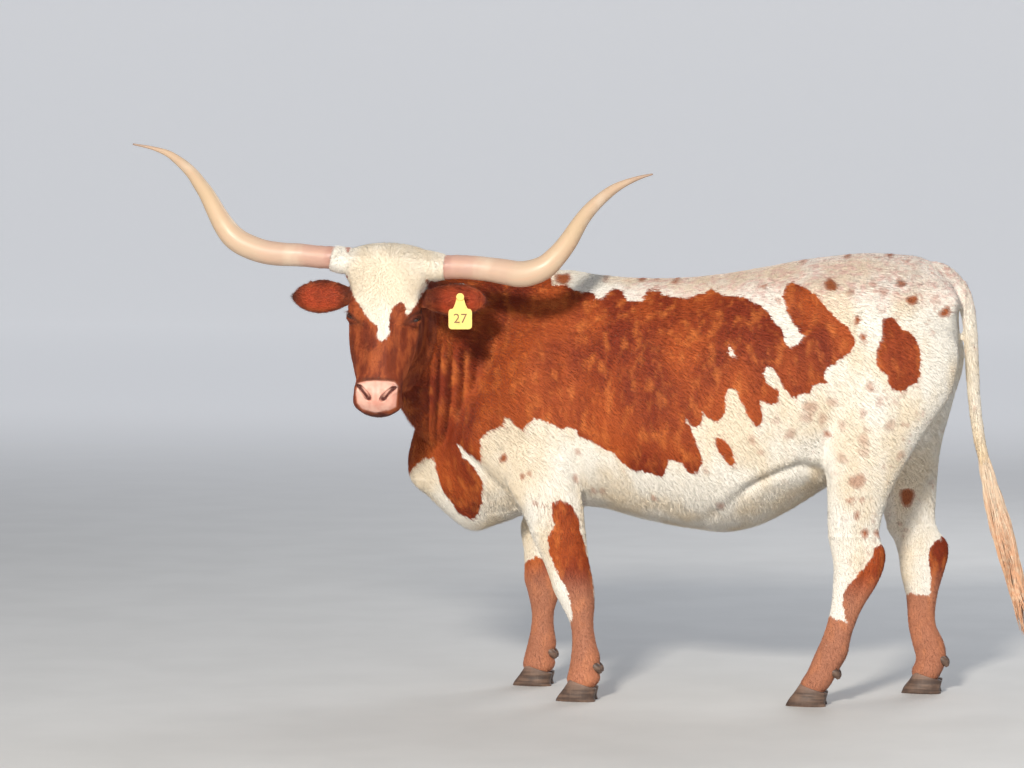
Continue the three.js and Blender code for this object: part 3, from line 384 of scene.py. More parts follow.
# Rings from the poll to the chin: down, front, widest, back, half width, nose, jaw, egg.
head_stations = [
    (-11, -19, -45, -69, 82, 2, 2, 0),
    (2, 1, -45, -97, 122, 2.2, 2, 0),
    (30, 17, -45, -124, 137, 2.5, 2.2, 0),
    (75, 23, -48, -149, 129, 2.6, 2.2, 0),
    (125, 23, -55, -174, 112, 2.6, 2.2, 0),
    (175, 18, -62, -204, 109, 2.6, 2.2, -0.02),
    (215, 9, -75, -221, 109, 2.5, 2.2, -0.06),
    (260, -2, -95, -219, 104, 2.4, 2.2, -0.12),
    (310, -9, -98, -199, 93, 2.4, 2.2, -0.15),
    (360, -12, -88, -165, 78, 2.4, 2.3, -0.1),
    (402, -11, -74, -142, 70, 2.5, 2.4, 0),
    (440, -6, -62, -129, 71, 2.7, 2.5, 0.02),
    (466, -10, -62, -123, 70, 2.7, 2.4, 0),
    (487, -27, -66, -115, 60, 2.5, 2.2, 0),
    (500, -51, -74, -99, 39, 2.2, 2, 0),
]
head_bumps = [
    ((102, 190, -12), (26, 26, 26), (9, -4, 9)),
    ((112, 150, -50), (30, 40, 34), (-9, 0, 0)),
    ((92, 258, -28), (26, 26, 30), (-7, 0, -4)),
    ((92, 268, -150), (40, 60, 50), (8, 0, 0)),
    ((80, 320, -62), (22, 50, 24), (6, 0, 0)),
    ((56, 430, -14), (24, 24, 22), (7, 0, 6)),
    ((60, 468, -78), (26, 20, 30), (6, 0, 0)),
]
head_bumps += [((-a, d, f), spread, (-p, q, r)) for (a, d, f), spread, (p, q, r) in head_bumps]
head_bumps += [((0, 498, -100), (44, 24, 26), (0, 6, 0)), ((0, 340, -6), (26, 90, 24), (0, 0, 5))]
head_bumps += [((16, -8, -45), (66, 40, 60), (0, -7, 0)), ((-98, -6, -45), (30, 40, 60), (0, 5, 0))]
rings = []
for d, front, wide, back, half, nose, jaw, egg in between(head_stations, 7):
    at, rise, drop = (0, d, wide), front - wide, wide - back
    rings.append(oval(at, (1, 0, 0), (0, 0, 1), half, rise, drop, nose, jaw, egg, sides=112))
head_flesh = [closed("head_flesh", in_head(swollen(np.array(rings), head_bumps)))]

# A collar of haired skin runs a hand's breadth out on to each horn: sideways, down, out, radius.
collar_stops = {
    1: [(70, 42, -40, 48), (110, 43, -42, 47), (140, 43, -42, 43), (162, 43, -42, 39),
        (171, 43, -42, 36.5)],
    -1: [(70, 48, -40, 42), (110, 44, -42, 39.5), (140, 39, -42, 40), (160, 36, -42, 39.5),
         (171, 34, -42, 36)],
}
for sign, collar in collar_stops.items():
    stops = [(*in_head((sign * a, d, f)), r) for a, d, f, r in collar]
    head_flesh.append(tube("collar_flesh", stops, 48, 5, face_out, 1.02))

# Ears: leaf-shaped cups held out sideways. t runs from root to tip, then width, cup and wall.
ear_stations = [
    (0, 56, 34, 26), (0.12, 66, 38, 20), (0.3, 95, 38, 8), (0.5, 113, 34, 6), (0.68, 107, 27, 5),
    (0.84, 82, 17, 5), (0.95, 46, 8, 4.5), (1, 20, 3, 4),
]


def ear_frame(sign, towards, roll):
    ahead = np.array(towards, float) @ head_axes
    ahead /= np.linalg.norm(ahead)
    facing = face_out + 0.1 * face_down
    facing = facing - ahead * (facing @ ahead)
    facing /= np.linalg.norm(facing)
    turn = math.radians(roll)
    facing = facing * math.cos(turn) + np.cross(ahead, facing) * math.sin(turn)
    return in_head((sign * 96, 138, -72)), ahead, facing, np.cross(ahead, facing)


ears = {
    "left": (*ear_frame(1, (0.985, -0.07, -0.1), -8), 206),
    "right": (*ear_frame(-1, (-0.985, 0.06, -0.06), 8), 192),
}
for name, (root, ahead, facing, across, length) in ears.items():
    rings = []
    for t, width, cup, wall in between(ear_stations, 6):
        u = np.linspace(-1, 1, 25)
        back = np.stack([width / 2 * u, -cup * (1 - u * u)], 1)
        front = np.stack([(width / 2 - 1.5) * u, (wall - cup) * (1 - u * u) + 2.5], 1)[-2:0:-1]
        outline = np.concatenate([back, front])
        rings.append(root + t * length * ahead + outline[:, :1] * across + outline[:, 1:] * facing)
    head_flesh.append(closed("ear_flesh", rings))

# Round each eye: flesh that wraps the ball, and a rim of lid over and under the slit that is cut
# into it further on. The slit runs from corner to corner across the gaze.
eye_at, eye_radius = np.array([87.0, 214.0, -41.0]), 21.0
gaze = np.array([0.82, -0.04, 0.57])
gaze /= np.linalg.norm(gaze)
corner = np.array([-0.52, 0.56, 0.70])
corner -= gaze * (corner @ gaze)
corner /= np.linalg.norm(corner)
over = np.cross(corner, gaze)
over *= -np.sign(over[1])
slit_half, slit_up, slit_down = 18.5, 5.6, 4.4
for sign in (1, -1):
    orbit = []
    for tilt in np.linspace(0.1, np.pi - 0.1, 18):
        r = (eye_radius + 4.4) * math.sin(tilt)
        at = eye_at - gaze * 1.2 + corner * (eye_radius + 4.4) * 1.12 * math.cos(tilt)
        orbit.append(oval(at, over, gaze, r, r, r, sides=36))
    head_flesh.append(closed("orbit_flesh", in_head(np.array(orbit) * (sign, 1, 1))))
    for upper in (True, False):
        stops = []
        for angle in np.linspace(0, np.pi, 9):
            spot = corner * math.cos(angle) * 0.93 + over * math.sin(angle) * (0.5 if upper else -0.42)
            spot = spot + gaze * math.sqrt(max(1 - spot @ spot, 0.02))
            spot = eye_at + spot / np.linalg.norm(spot) * (eye_radius + 2.2)
            thick = (5.6 if upper else 4.4) * (0.7 + 0.3 * math.sin(angle))
            stops.append((*in_head(spot * (sign, 1, 1)), thick))
        head_flesh.append(tube("lid_flesh", stops, 16, 4, face_left))
head_voxel, head_evening = 0.003, 3
head = merged("head_skin", head_flesh, head_voxel, head_evening)


# The almond slits before the eyes and the slanting nostrils are cut into the head.
def cut_out(piece, tools, how="DIFFERENCE"):
    for tool in tools:
        cut = piece.modifiers.new("cut", "BOOLEAN")
        cut.operation = how
        cut.solver = "MANIFOLD"
        cut.object = tool
    applied(piece)
    for tool in tools:
        bpy.data.objects.remove(tool)


def ball(name, center, radius, sides=48):
    rings = []
    for tilt in np.linspace(0.06, np.pi - 0.06, sides // 2):
        at = np.asarray(center) + face_down * radius * -math.cos(tilt)
        r = radius * math.sin(tilt)
        rings.append(oval(at, face_left, face_out, r, r, r, sides=sides))
    return closed(name, rings)


# Sideways, down, out and radius along a nostril, from its inner end.
nostril = [
    (20, 467, -26, 7), (27, 461, -10, 9.5), (37, 450, -4, 9), (47, 439, -5, 7), (57, 430, -16, 4.5),
]
tools = []
for sign in (1, -1):
    slit = []
    for out in np.linspace(8, 48, 9):
        angle = np.arange(40) / 40 * 2 * np.pi
        rise = np.sin(angle) * np.abs(np.sin(angle)) ** 0.4
        tall = np.where(rise > 0, slit_up, slit_down) * rise * (1 + 0.004 * (out - 20))
        wide = np.outer(np.cos(angle) * slit_half, corner)
        slit.append(eye_at + gaze * out + wide + np.outer(tall, over))
    tools.append(closed("eye_slit", in_head(np.array(slit) * (sign, 1, 1))))
    stops = [(*in_head((sign * a, d, f)), r) for a, d, f, r in nostril]
    tools.append(tube("nostril", stops, 24, 5, face_out, 1.6))
cut_out(head, tools)
cut_voxel, cut_evening = 0.0028, 2
head = merged("head_skin", [head], cut_voxel, cut_evening)

# Trunk, legs, tail and head become one skin, and the welts where they meet are smoothed away.
trees = []
for part in (body, head):
    places = [v.co for v in part.data.vertices]
    trees.append(BVHTree.FromPolygons(places, [p.vertices for p in part.data.polygons]))
cut_out(body, [head], "UNION")
skin = body
skin.name = "skin"


def points_of(mesh):
    flat = np.empty(len(mesh.vertices) * 3, np.float32)
    mesh.vertices.foreach_get("co", flat)
    return flat.reshape(-1, 3).astype(float)


def normals_of(mesh):
    flat = np.empty(len(mesh.vertices) * 3, np.float32)
    mesh.vertex_normals.foreach_get("vector", flat)
    return flat.reshape(-1, 3).astype(float)


def edges_of(mesh):
    flat = np.empty(len(mesh.edges) * 2, np.int32)
    mesh.edges.foreach_get("vertices", flat)
    return flat.reshape(-1, 2)


def settled(points, edges, amount, rounds):
    count = np.maximum(np.bincount(edges.ravel(), minlength=len(points)), 1)[:, None]
    for _ in range(rounds):
        pull = np.stack(
            [
                np.bincount(edges[:, 0], points[edges[:, 1], k], len(points))
                + np.bincount(edges[:, 1], points[edges[:, 0], k], len(points))
                for k in range(3)
            ],
            1,
        )
        points = points + amount[:, None] * (pull / count - points)
    return points


def put_back(mesh, points):
    mesh.vertices.foreach_set("co", points.astype(np.float32).ravel())
    mesh.update()


points = points_of(skin.data)
welt = np.zeros(len(points))
welt_reach, head_reach, welt_rounds = 0.045, 420, 60
by_the_head = np.abs(away(points) - poll).max(1) < head_reach
for i in np.flatnonzero(by_the_head):
    gaps = [tree.find_nearest(points[i], welt_reach)[3] for tree in trees]
    if None not in gaps:
        welt[i] = 1 - max(gaps) / welt_reach
welt = np.clip(welt * 1.6, 0, 1)
put_back(skin.data, settled(points, edges_of(skin.data), 0.5 * welt, welt_rounds))

# Muscle, bone and folds. Lines on the flank are read off the photograph in its pixels and serve
# both sides: (line, half width in pixels, depth in mm, where a minus sign raises a ridge).
flank_lines = [
    ([(455, 445), (480, 470), (500, 490), (516, 512), (530, 545)], 5, 9),
    ([(468, 440), (492, 463), (512, 488), (526, 510)], 8, -5),
    ([(573, 432), (576, 462), (579, 488), (584, 503)], 6, 8),
    ([(590, 430), (594, 465), (600, 490)], 9, -3),
    ([(548, 507), (556, 527), (556, 560)], 5, 4),
    ([(740, 495), (760, 483), (780, 474), (800, 467), (815, 471), (828, 484)], 5.5, 15),
    ([(696, 527), (716, 513), (736, 499), (756, 486)], 7, 6),
    ([(712, 504), (740, 484), (760, 475), (782, 465), (802, 458), (820, 463)], 8, -4),
    ([(720, 520), (745, 506), (775, 494), (806, 488)], 9, 3),
    ([(800, 467), (822, 440), (838, 405), (845, 370)], 11, 6),
    ([(862, 548), (866, 576), (857, 602)], 3.5, 5),
    ([(886, 520), (880, 556), (874, 590)], 4, -3),
    ([(800, 282), (840, 300), (880, 306), (930, 300)], 12, -5),
    ([(815, 305), (850, 330), (880, 350)], 16, 5),
    ([(900, 330), (912, 370), (905, 415), (890, 450)], 12, 4),
    ([(548, 300), (532, 350), (506, 400), (488, 430)], 9, -6),
    ([(575, 310), (566, 360), (560, 410)], 12, 5),
    ([(492, 325), (480, 375), (466, 430)], 8, 6),
    ([(730, 300), (745, 340), (760, 380)], 20, 4),
    ([(786, 340), (780, 390), (785, 430)], 18, 6),
]
for start, lean in ((612, 20), (640, 24), (668, 27), (696, 30), (724, 32)):
    flank_lines.append(([(start - 12, 350), (start, 400), (start + lean, 450)], 7, 2.2))
neck_folds = [
    ([(433, 345), (430, 400), (427, 455)], 2.4, 6),
    ([(443, 338), (440, 395), (434, 450)], 2.6, 5),
    ([(454, 345), (452, 400), (444, 448)], 2.6, 5),
    ([(466, 345), (464, 400), (454, 446)], 3, 4),
    ([(478, 350), (474, 400), (463, 440)], 3.4, 4),
    ([(438, 345), (435, 400), (431, 450)], 3, -3),
    ([(448, 345), (446, 400), (439, 450)], 3, -3),
    ([(460, 345), (458, 400), (449, 448)], 3, -3),
    ([(418, 430), (424, 465), (440, 500), (458, 520)], 4, 5),
    ([(446, 455), (455, 480), (462, 508)], 4, 5),
]


def off_line(spots, line):
    # How far each spot is from a line of points, and how far along the line, from 0 to 1, its foot is.
    line = np.array(line, float)
    runs = np.linalg.norm(np.diff(line, axis=0), axis=1)
    total, before = runs.sum(), 0.0
    nearest, share = np.full(len(spots), 1e9), np.zeros(len(spots))
    for start, end, run in zip(line[:-1], line[1:], runs):
        t = np.clip((spots - start) @ (end - start) / run**2, 0, 1)
        far = np.linalg.norm(spots - start - t[:, None] * (end - start), axis=1)
        closer = far < nearest
        nearest[closer] = far[closer]
        share[closer] = (before + t[closer] * run) / total
        before += run
    return nearest, share


def pressed(spots, lines, fade=0.22):
    depth = np.zeros(len(spots))
    for line, wide, deep in lines:
        reach = np.array(line, float)
        low, high = reach.min(0) - 3 * wide, reach.max(0) + 3 * wide
        close = np.flatnonzero(((spots > low) & (spots < high)).all(1))
        far, share = off_line(spots[close], line)
        ends = np.clip(np.minimum(share, 1 - share) / fade, 0, 1)
        depth[close] += deep * np.exp(-((far / wide) ** 2)) * (0.15 + 0.85 * ends * (2 - ends))
    return depth


def midline(points):
    # The neck's and body's own middle, sideways, at each point's place along the body.
    along = [-870, -848, -820, -760, -665, -550, -420, 0]
    return np.interp(points[:, 0], along, [-300, -262, -175, -90, -28, -4, 0, 0])


def flank_view(points):
    # Points as the photograph sees them, with the far side folded over on to the near one.
    middle = midline(points)
    near = points.copy()
    near[:, 1] = middle - np.abs(points[:, 1] - middle)
    return seen(near)


def on_head_like(points):
    a, d, f = from_head(points).T
    boxed = (d > -70) & (d < 530) & (np.abs(a) < 330) & (points[:, 0] < -600)
    return boxed & (f > -175 - 0.25 * np.maximum(d, 0))


points, normals = away(points_of(skin.data)), normals_of(skin.data)
a, d, f = from_head(points).T
on_head = on_head_like(points)
sideways = np.clip(np.abs(normals[:, 1]) * 2.2, 0, 1)
spots = flank_view(points)
depth = pressed(spots, flank_lines) * sideways
depth += pressed(spots, neck_folds) * (points[:, 1] < midline(points) + 10)
depth[on_head] = 0
# On the head the lines are in the head's own frame, in mm, and each has a twin on the other side.
head_lines = [
    ([(50, 196, 8), (68, 184, 8), (92, 182, -6), (112, 194, -30), (118, 214, -52)], 7, -4),
    ([(52, 206, 4), (70, 196, 0), (94, 193, -14), (110, 205, -36)], 4, 3.5),
    ([(64, 236, -8), (84, 243, -28), (104, 236, -46)], 4, 3),
    ([(62, 244, -4), (52, 285, 0), (50, 335, -4), (52, 380, -6)], 10, 3.5),
    ([(24, 215, 12), (24, 290, 2), (26, 350, -4), (30, 395, -6)], 11, -4),
    ([(100, 240, -70), (96, 290, -84), (84, 345, -84), (74, 400, -80)], 11, -5),
    ([(98, 262, -110), (92, 320, -116), (80, 370, -104)], 16, 5),
    ([(16, 470, -34), (24, 472, -22), (40, 461, -4), (56, 448, -10), (66, 434, -24)], 6, -3.5),
    ([(14, 452, -12), (26, 444, 0), (42, 430, 0), (56, 420, -8)], 6, -3),
    ([(0, 408, -8), (30, 412, -8), (58, 420, -22), (70, 440, -46)], 5, 2.5),
    ([(0, 470, -14), (0, 487, -36), (0, 498, -56)], 3.5, 3),
    ([(0, 500, -62), (26, 496, -66), (46, 484, -72), (64, 464, -86), (72, 440, -104),
      (74, 415, -116)], 4, 6.5),
    ([(0, 503, -78), (26, 499, -82), (44, 488, -88), (62, 466, -102)], 5, -2),
    ([(104, 120, -40), (112, 150, -64), (108, 178, -84)], 10, 4),
    ([(40, 60, 22), (58, 110, 20), (70, 160, 8)], 16, -3),
]
heads = from_head(points[on_head])
heads[:, 0] = np.abs(heads[:, 0])
depth[on_head] = pressed(heads, head_lines)
# The skin lies inside the solids by the depth of the coat, in mm, and not at all on the ears.
coat_deep = np.where(on_head, 1.2, 4.0)
coat_deep = np.where(on_head & (np.abs(a) > 135) & (d > 60), 0.0, coat_deep)
coat_deep = np.where(points[:, 2] < 520, 2.2, coat_deep)
on_udder = (points[:, 2] < 662) & (np.abs(points[:, 1]) < 70)
coat_deep = np.where((points[:, 0] > 835) | on_udder, 1.2, coat_deep)
put_back(skin.data, home(points - normals * (depth + coat_deep)[:, None]))
thin = skin.modifiers.new("thin", "DECIMATE")
skin_triangles, most_triangles = 192000, 199000
thin.ratio = skin_triangles / (len(skin.data.loops) - 2 * len(skin.data.polygons))
thin.use_collapse_triangulate = True
applied(skin)
shade_smooth(skin.data)
assert len(skin.data.polygons) < most_triangles, len(skin.data.polygons)


# The skin's own unwrap, which every tuft of hair shares, is by parts: each part is rolled flat
# round its own axis into a tile of the map.
def unwrapped(points):
    a, d, f = from_head(points).T
    x, y, z = points.T
    tiles = np.zeros(len(points), int)
    tiles[on_head_like(points)] = 1
    leg = (tiles == 0) & (z < 640) & (np.abs(y) > 60)
    tiles[leg] = 2 + 2 * (x[leg] > 100) + (y[leg] > 0)
    tiles[(tiles == 0) & (x > 832)] = 6
    turn = np.arctan2(y - midline(points), z - 900)
    flat = np.stack([(x + 900) / 1800, turn / (2 * np.pi) + 0.5], 1)
    turn = np.arctan2(a, f + 80)
    flat[tiles == 1] = np.stack([turn / (2 * np.pi) + 0.5, (d + 80) / 620], 1)[tiles == 1]
    legs = (
        (2, fore_guide, -167), (3, fore_guide, 167), (4, hind_guide, -170), (5, hind_guide, 170),
    )
    for tile, guide, sideways in legs:
        here = tiles == tile
        heights, shifts = zip(*guide[::-1])
        middles = [-305, -308, -344, -425] if tile < 4 else [400, 468, 520, 533]
        axis = np.interp(z, [0, 230, 375, 650], middles)
        axis = axis + (np.interp(z, heights, shifts) if tile in (3, 5) else 0)
        turn = np.arctan2(y - sideways, x - axis)
        flat[here] = np.stack([turn / (2 * np.pi) + 0.5, z / 660], 1)[here]
    here = tiles == 6
    tail_at = np.interp(z, [560, 740, 880, 1130, 1300], [948, 900, 874, 854, 800])
    turn = np.arctan2(y + 30, x - tail_at)
    flat[here] = np.stack([turn / (2 * np.pi) + 0.5, z / 1320], 1)[here]
    # The tiles' low corners and sizes on the map: trunk, head, the four legs, tail.
    low = np.array([
        (0.01, 0.42), (0.01, 0.01), (0.35, 0.01), (0.51, 0.01), (0.67, 0.01), (0.83, 0.01),
        (0.35, 0.24),
    ])
    size = np.array([(0.98, 0.57), (0.32, 0.38), *(4 * [(0.14, 0.2)]), (0.6, 0.15)])
    return low[tiles] + np.clip(flat, 0, 1) * size[tiles]


def add_unwrap(mesh, points):
    # A face whose corners fall on both sides of a seam takes the place of its first corner.
    flat = unwrapped(points)
    corners = np.empty(len(mesh.loops), np.int32)
    mesh.loops.foreach_get("vertex_index", corners)
    starts = np.empty(len(mesh.polygons), np.int32)
    mesh.polygons.foreach_get("loop_start", starts)
    sizes = np.empty(len(mesh.polygons), np.int32)
    mesh.polygons.foreach_get("loop_total", sizes)
    places = flat[corners]
    first = np.repeat(places[starts], sizes, 0)
    torn = np.abs(places - first).max(1) > 0.1
    places[torn] = first[torn] + 0.001
    layer = mesh.uv_layers.new(name="OFBake")
    layer.uv.foreach_set("vector", places.astype(np.float32).ravel())


points, normals = away(points_of(skin.data)), normals_of(skin.data)
add_unwrap(skin.data, points)

# The markings of the coat, red on white. Outlines are read off the photograph in its pixels for the
# near side. The far side, which it doesn't show, has outlines of its own in the same measure.
near_red = [
    ("red", [
        (340, 470), (330, 300), (430, 240), (540, 246), (549, 262), (551, 285), (563, 284),
        (580, 293), (592, 290), (595, 299), (602, 299), (607, 292), (612, 288), (622, 290),
        (626, 300), (642, 302), (647, 289), (655, 287), (662, 295), (687, 299), (703, 293),
        (710, 288), (722, 295), (733, 296), (745, 297), (753, 303), (760, 305), (767, 312),
        (775, 322), (782, 330), (785, 343), (790, 348), (798, 343), (803, 337), (798, 330),
        (792, 322), (787, 312), (782, 297), (785, 285), (790, 282), (798, 285), (812, 292),
        (825, 305), (835, 317), (850, 330), (855, 340), (852, 350), (840, 360), (828, 368),
        (823, 375), (827, 383), (813, 385), (810, 393), (798, 395), (795, 400), (788, 393),
        (782, 387), (778, 375), (773, 368), (767, 366), (763, 372), (765, 382), (773, 387),
        (779, 392), (778, 402), (770, 405), (760, 400), (762, 410), (762, 422), (757, 428),
        (750, 420), (742, 403), (735, 390), (728, 388), (725, 398), (725, 412), (717, 423),
        (708, 417), (703, 412), (700, 425), (693, 427), (684, 417), (691, 431), (698, 447),
        (702, 463), (697, 475), (687, 472), (682, 463), (668, 460), (667, 468), (662, 477),
        (650, 473), (633, 470), (620, 462), (613, 453), (602, 448), (590, 440), (580, 437),
        (575, 430), (568, 425), (563, 430), (553, 425), (542, 420), (535, 418), (528, 423),
        (522, 431), (515, 425), (508, 418), (503, 417), (503, 427), (495, 428), (487, 432),
        (480, 438), (480, 452), (480, 462), (468, 453), (457, 444), (463, 457), (473, 467),
        (482, 480), (482, 500), (478, 515), (470, 519), (458, 513), (452, 503), (445, 493),
        (435, 498), (427, 487), (423, 463), (400, 440),
    ]),
    ("red", [
        (882, 318), (887, 317), (892, 316), (897, 323), (902, 328), (910, 332), (917, 340),
        (920, 357), (920, 373), (917, 382), (908, 387), (903, 393), (893, 390), (887, 382),
        (887, 375), (878, 368), (875, 357), (877, 347), (882, 337),
    ]),
    ("red", [
        (715, 437), (722, 438), (730, 447), (735, 460), (735, 467), (728, 465), (720, 453), (715, 445),
    ]),
    ("white", [(728, 345), (732, 348), (735, 358), (730, 357), (728, 352)]),
    ("red", [
        (553, 503), (560, 499), (572, 505), (578, 517), (583, 540), (590, 563), (594, 593),
        (598, 620), (610, 720), (540, 720), (573, 615), (567, 590), (560, 577), (550, 557),
        (547, 537), (555, 525), (552, 513),
    ]),
    ("red", [
        (888, 540), (890, 560), (888, 590), (880, 625), (880, 720), (770, 720), (800, 640),
        (828, 616), (847, 623), (843, 607), (843, 593), (848, 585), (860, 573), (870, 560),
        (875, 547),
    ]),
]
far_leg_red = [
    ("red", [(500, 575), (528, 561), (537, 556), (545, 560), (560, 557), (570, 720), (500, 720)]),
    ("red", [
        (960, 530), (958, 560), (950, 620), (950, 720), (890, 720), (900, 600), (910, 593),
        (930, 596), (931, 577), (928, 553), (935, 541), (945, 535),
    ]),
]
far_red = [
    ("red", [
        (340, 480), (330, 300), (430, 240), (548, 248), (566, 292), (590, 300), (612, 296),
        (640, 306), (668, 300), (690, 310), (706, 330), (700, 352), (716, 368), (708, 392),
        (690, 400), (684, 424), (664, 438), (650, 428), (640, 448), (618, 456), (604, 440),
        (588, 446), (570, 428), (556, 436), (540, 424), (520, 432), (505, 420), (488, 436),
        (482, 470), (470, 500), (455, 512), (440, 498), (424, 470),
    ]),
    ("red", [
        (742, 312), (764, 302), (790, 306), (806, 322), (822, 326), (830, 348), (818, 366),
        (822, 388), (800, 398), (784, 386), (770, 398), (756, 382), (760, 362), (744, 350),
        (748, 330),
    ]),
    ("red", [(868, 330), (884, 324), (898, 338), (904, 362), (892, 380), (876, 372), (866, 352)]),
    ("red", [(715, 430), (728, 424), (738, 436), (732, 452), (718, 448)]),
]
# Small spots: across, down, radius, and how red each is.
near_spots = [
    (830, 285, 6.5, 1), (900, 283, 5, 0.7), (912, 300, 6, 0.9), (945, 312, 6, 0.8),
    (857, 320, 4.5, 0.9), (863, 337, 4.5, 0.8), (887, 254, 4, 0.8), (845, 256, 4, 0.7),
    (763, 286, 4.5, 0.6), (850, 292, 5, 0.4), (872, 283, 5, 0.35), (883, 292, 6, 0.35),
    (870, 387, 5, 0.5), (827, 434, 4, 0.7), (810, 407, 8, 0.35), (807, 417, 7, 0.3),
    (880, 402, 5, 0.35), (863, 413, 5, 0.35), (863, 440, 7, 0.3), (842, 458, 6, 0.3),
    (863, 452, 6, 0.3), (857, 481, 9, 0.45), (503, 458, 4.5, 0.9), (522, 476, 3.5, 0.8),
    (529, 473, 3, 0.7), (535, 503, 3, 0.7), (543, 505, 3, 0.7), (850, 500, 4, 0.6),
    (862, 500, 3.5, 0.6), (857, 515, 4.5, 0.6), (865, 533, 5, 0.7), (877, 533, 4, 0.7),
    (653, 497, 3, 0.6), (720, 505, 4, 0.5), (602, 490, 3, 0.5), (592, 490, 3, 0.5),
    (907, 496, 9.5, 0.75), (575, 478, 4, 0.5), (578, 452, 3.5, 0.5), (832, 402, 6, 0.3),
    (776, 420, 5, 0.3), (790, 434, 6, 0.35), (822, 418, 6, 0.3), (752, 440, 5, 0.35),
    (845, 350, 5, 0.35), (640, 279, 4, 0.8), (655, 279, 3, 0.7), (674, 281, 4, 0.8),
    (604, 279, 4, 0.5), (900, 524, 3, 0.4), (935, 300, 5, 0.3), (800, 262, 4, 0.5),
    (562, 279, 7, 1), (890, 425, 6, 0.3), (900, 455, 5, 0.3), (842, 425, 5, 0.3),
    (705, 470, 4, 0.3), (760, 452, 4, 0.35), (778, 300, 3, 0.5),
]
far_spots = [
    (842, 300, 6, 0.9), (858, 282, 5, 0.7), (905, 306, 6, 0.8), (925, 322, 5, 0.8),
    (838, 392, 6, 0.4), (856, 412, 7, 0.35), (812, 420, 6, 0.4), (790, 440, 6, 0.35),
    (880, 430, 6, 0.35), (722, 330, 5, 0.7), (728, 386, 5, 0.5), (520, 466, 5, 0.9),
    (540, 480, 4, 0.7), (850, 460, 6, 0.4), (700, 460, 4, 0.5), (640, 482, 4, 0.5),
    (770, 470, 5, 0.35), (880, 300, 5, 0.5), (560, 500, 4, 0.6), (690, 286, 4, 0.6),
    (760, 280, 5, 0.6), (820, 272, 5, 0.5), (866, 500, 6, 0.6), (600, 280, 4, 0.5),
]
blaze = [
    (337, 226), (332, 262), (337, 266), (344, 274), (348, 283), (355, 298), (362, 310), (372, 322),
    (377, 325), (378, 330), (377, 337), (382, 341), (387, 338), (390, 333), (389, 323), (390, 313),
    (393, 307), (400, 302), (405, 304), (405, 313), (407, 316), (412, 310), (417, 302), (422, 293),
    (430, 287), (438, 283), (446, 279), (448, 257), (440, 226),
]
nose_pad = [
    (358, 383), (366, 381), (375, 380.5), (388, 381), (395, 382), (398, 386), (397, 396),
    (396, 407), (390, 410), (375, 413), (362, 409), (357, 403), (355.5, 392),
]


# Painted shade on the face, drawn as dark lines: under the brows, the fold from the eye down the cheek,
# along the sides of the nose and the edge of the jaw.
face_shade_lines = [
    ([(343, 307), (349, 314), (357, 321), (364, 327)], 2.4, 0.75),
    ([(428, 310), (419, 312), (410, 317), (402, 326)], 2.4, 0.75),
    ([(348, 322), (352, 345), (356, 372)], 3.0, 0.3),
    ([(422, 318), (417, 345), (405, 375)], 3.0, 0.3),
    ([(366, 330), (367, 350), (363, 374)], 2.6, 0.28),
    ([(396, 332), (394, 350), (391, 374)], 2.6, 0.28),
    ([(345, 300), (344, 320), (347, 350), (352, 380)], 2.6, 0.45),
    ([(430, 300), (428, 325), (421, 355), (408, 385)], 2.6, 0.45),
]


def within(spots, outline, reach=14.0):
    # Distance to the edge of an outline, plus inside and minus outside, no further than reach.
    line = np.array(outline + outline[:1], float)
    low, high = line.min(0) - reach, line.max(0) + reach
    out = np.full(len(spots), -reach)
    close = np.flatnonzero(((spots > low) & (spots < high)).all(1))
    u, v = spots[close].T
    best, inside = np.full(len(close), reach**2), np.zeros(len(close), bool)
    for (x0, y0), (x1, y1) in zip(line[:-1], line[1:]):
        dx, dy = x1 - x0, y1 - y0
        t = np.clip(((u - x0) * dx + (v - y0) * dy) / (dx * dx + dy * dy), 0, 1)
        np.minimum(best, (u - x0 - t * dx) ** 2 + (v - y0 - t * dy) ** 2, out=best)
        if y0 != y1:
            inside ^= ((y0 > v) != (y1 > v)) & (u < x0 + (v - y0) / dy * dx)
    out[close] = np.where(inside, 1, -1) * np.sqrt(best)
    return out


def painted(spots, outlines):
    red = np.full(len(spots), -14.0)
    for kind, outline in outlines:
        inside = within(spots, outline)
        red = np.maximum(red, inside) if kind == "red" else np.minimum(red, -inside)
    return red


def dotted(spots, dots):
    # Small spots are a little out of round. Their strength is kept beside their edge.
    edge, strength = np.full(len(spots), -14.0), np.zeros(len(spots))
    for i, (u, v, r, much) in enumerate(dots):
        dx, dy = spots[:, 0] - u, spots[:, 1] - v
        turn = np.arctan2(dy, dx)
        out_of_round = 1 + 0.14 * np.sin(2 * turn + i) + 0.09 * np.sin(3 * turn + 2 * i)
        far = r * out_of_round - np.hypot(dx, dy)
        here = far > edge
        edge[here] = far[here]
        strength[here & (far > -4)] = much
    return edge, strength


def step(low, high, value):
    t = np.clip((value - low) / (high - low), 0, 1)
    return t * t * (3 - 2 * t)


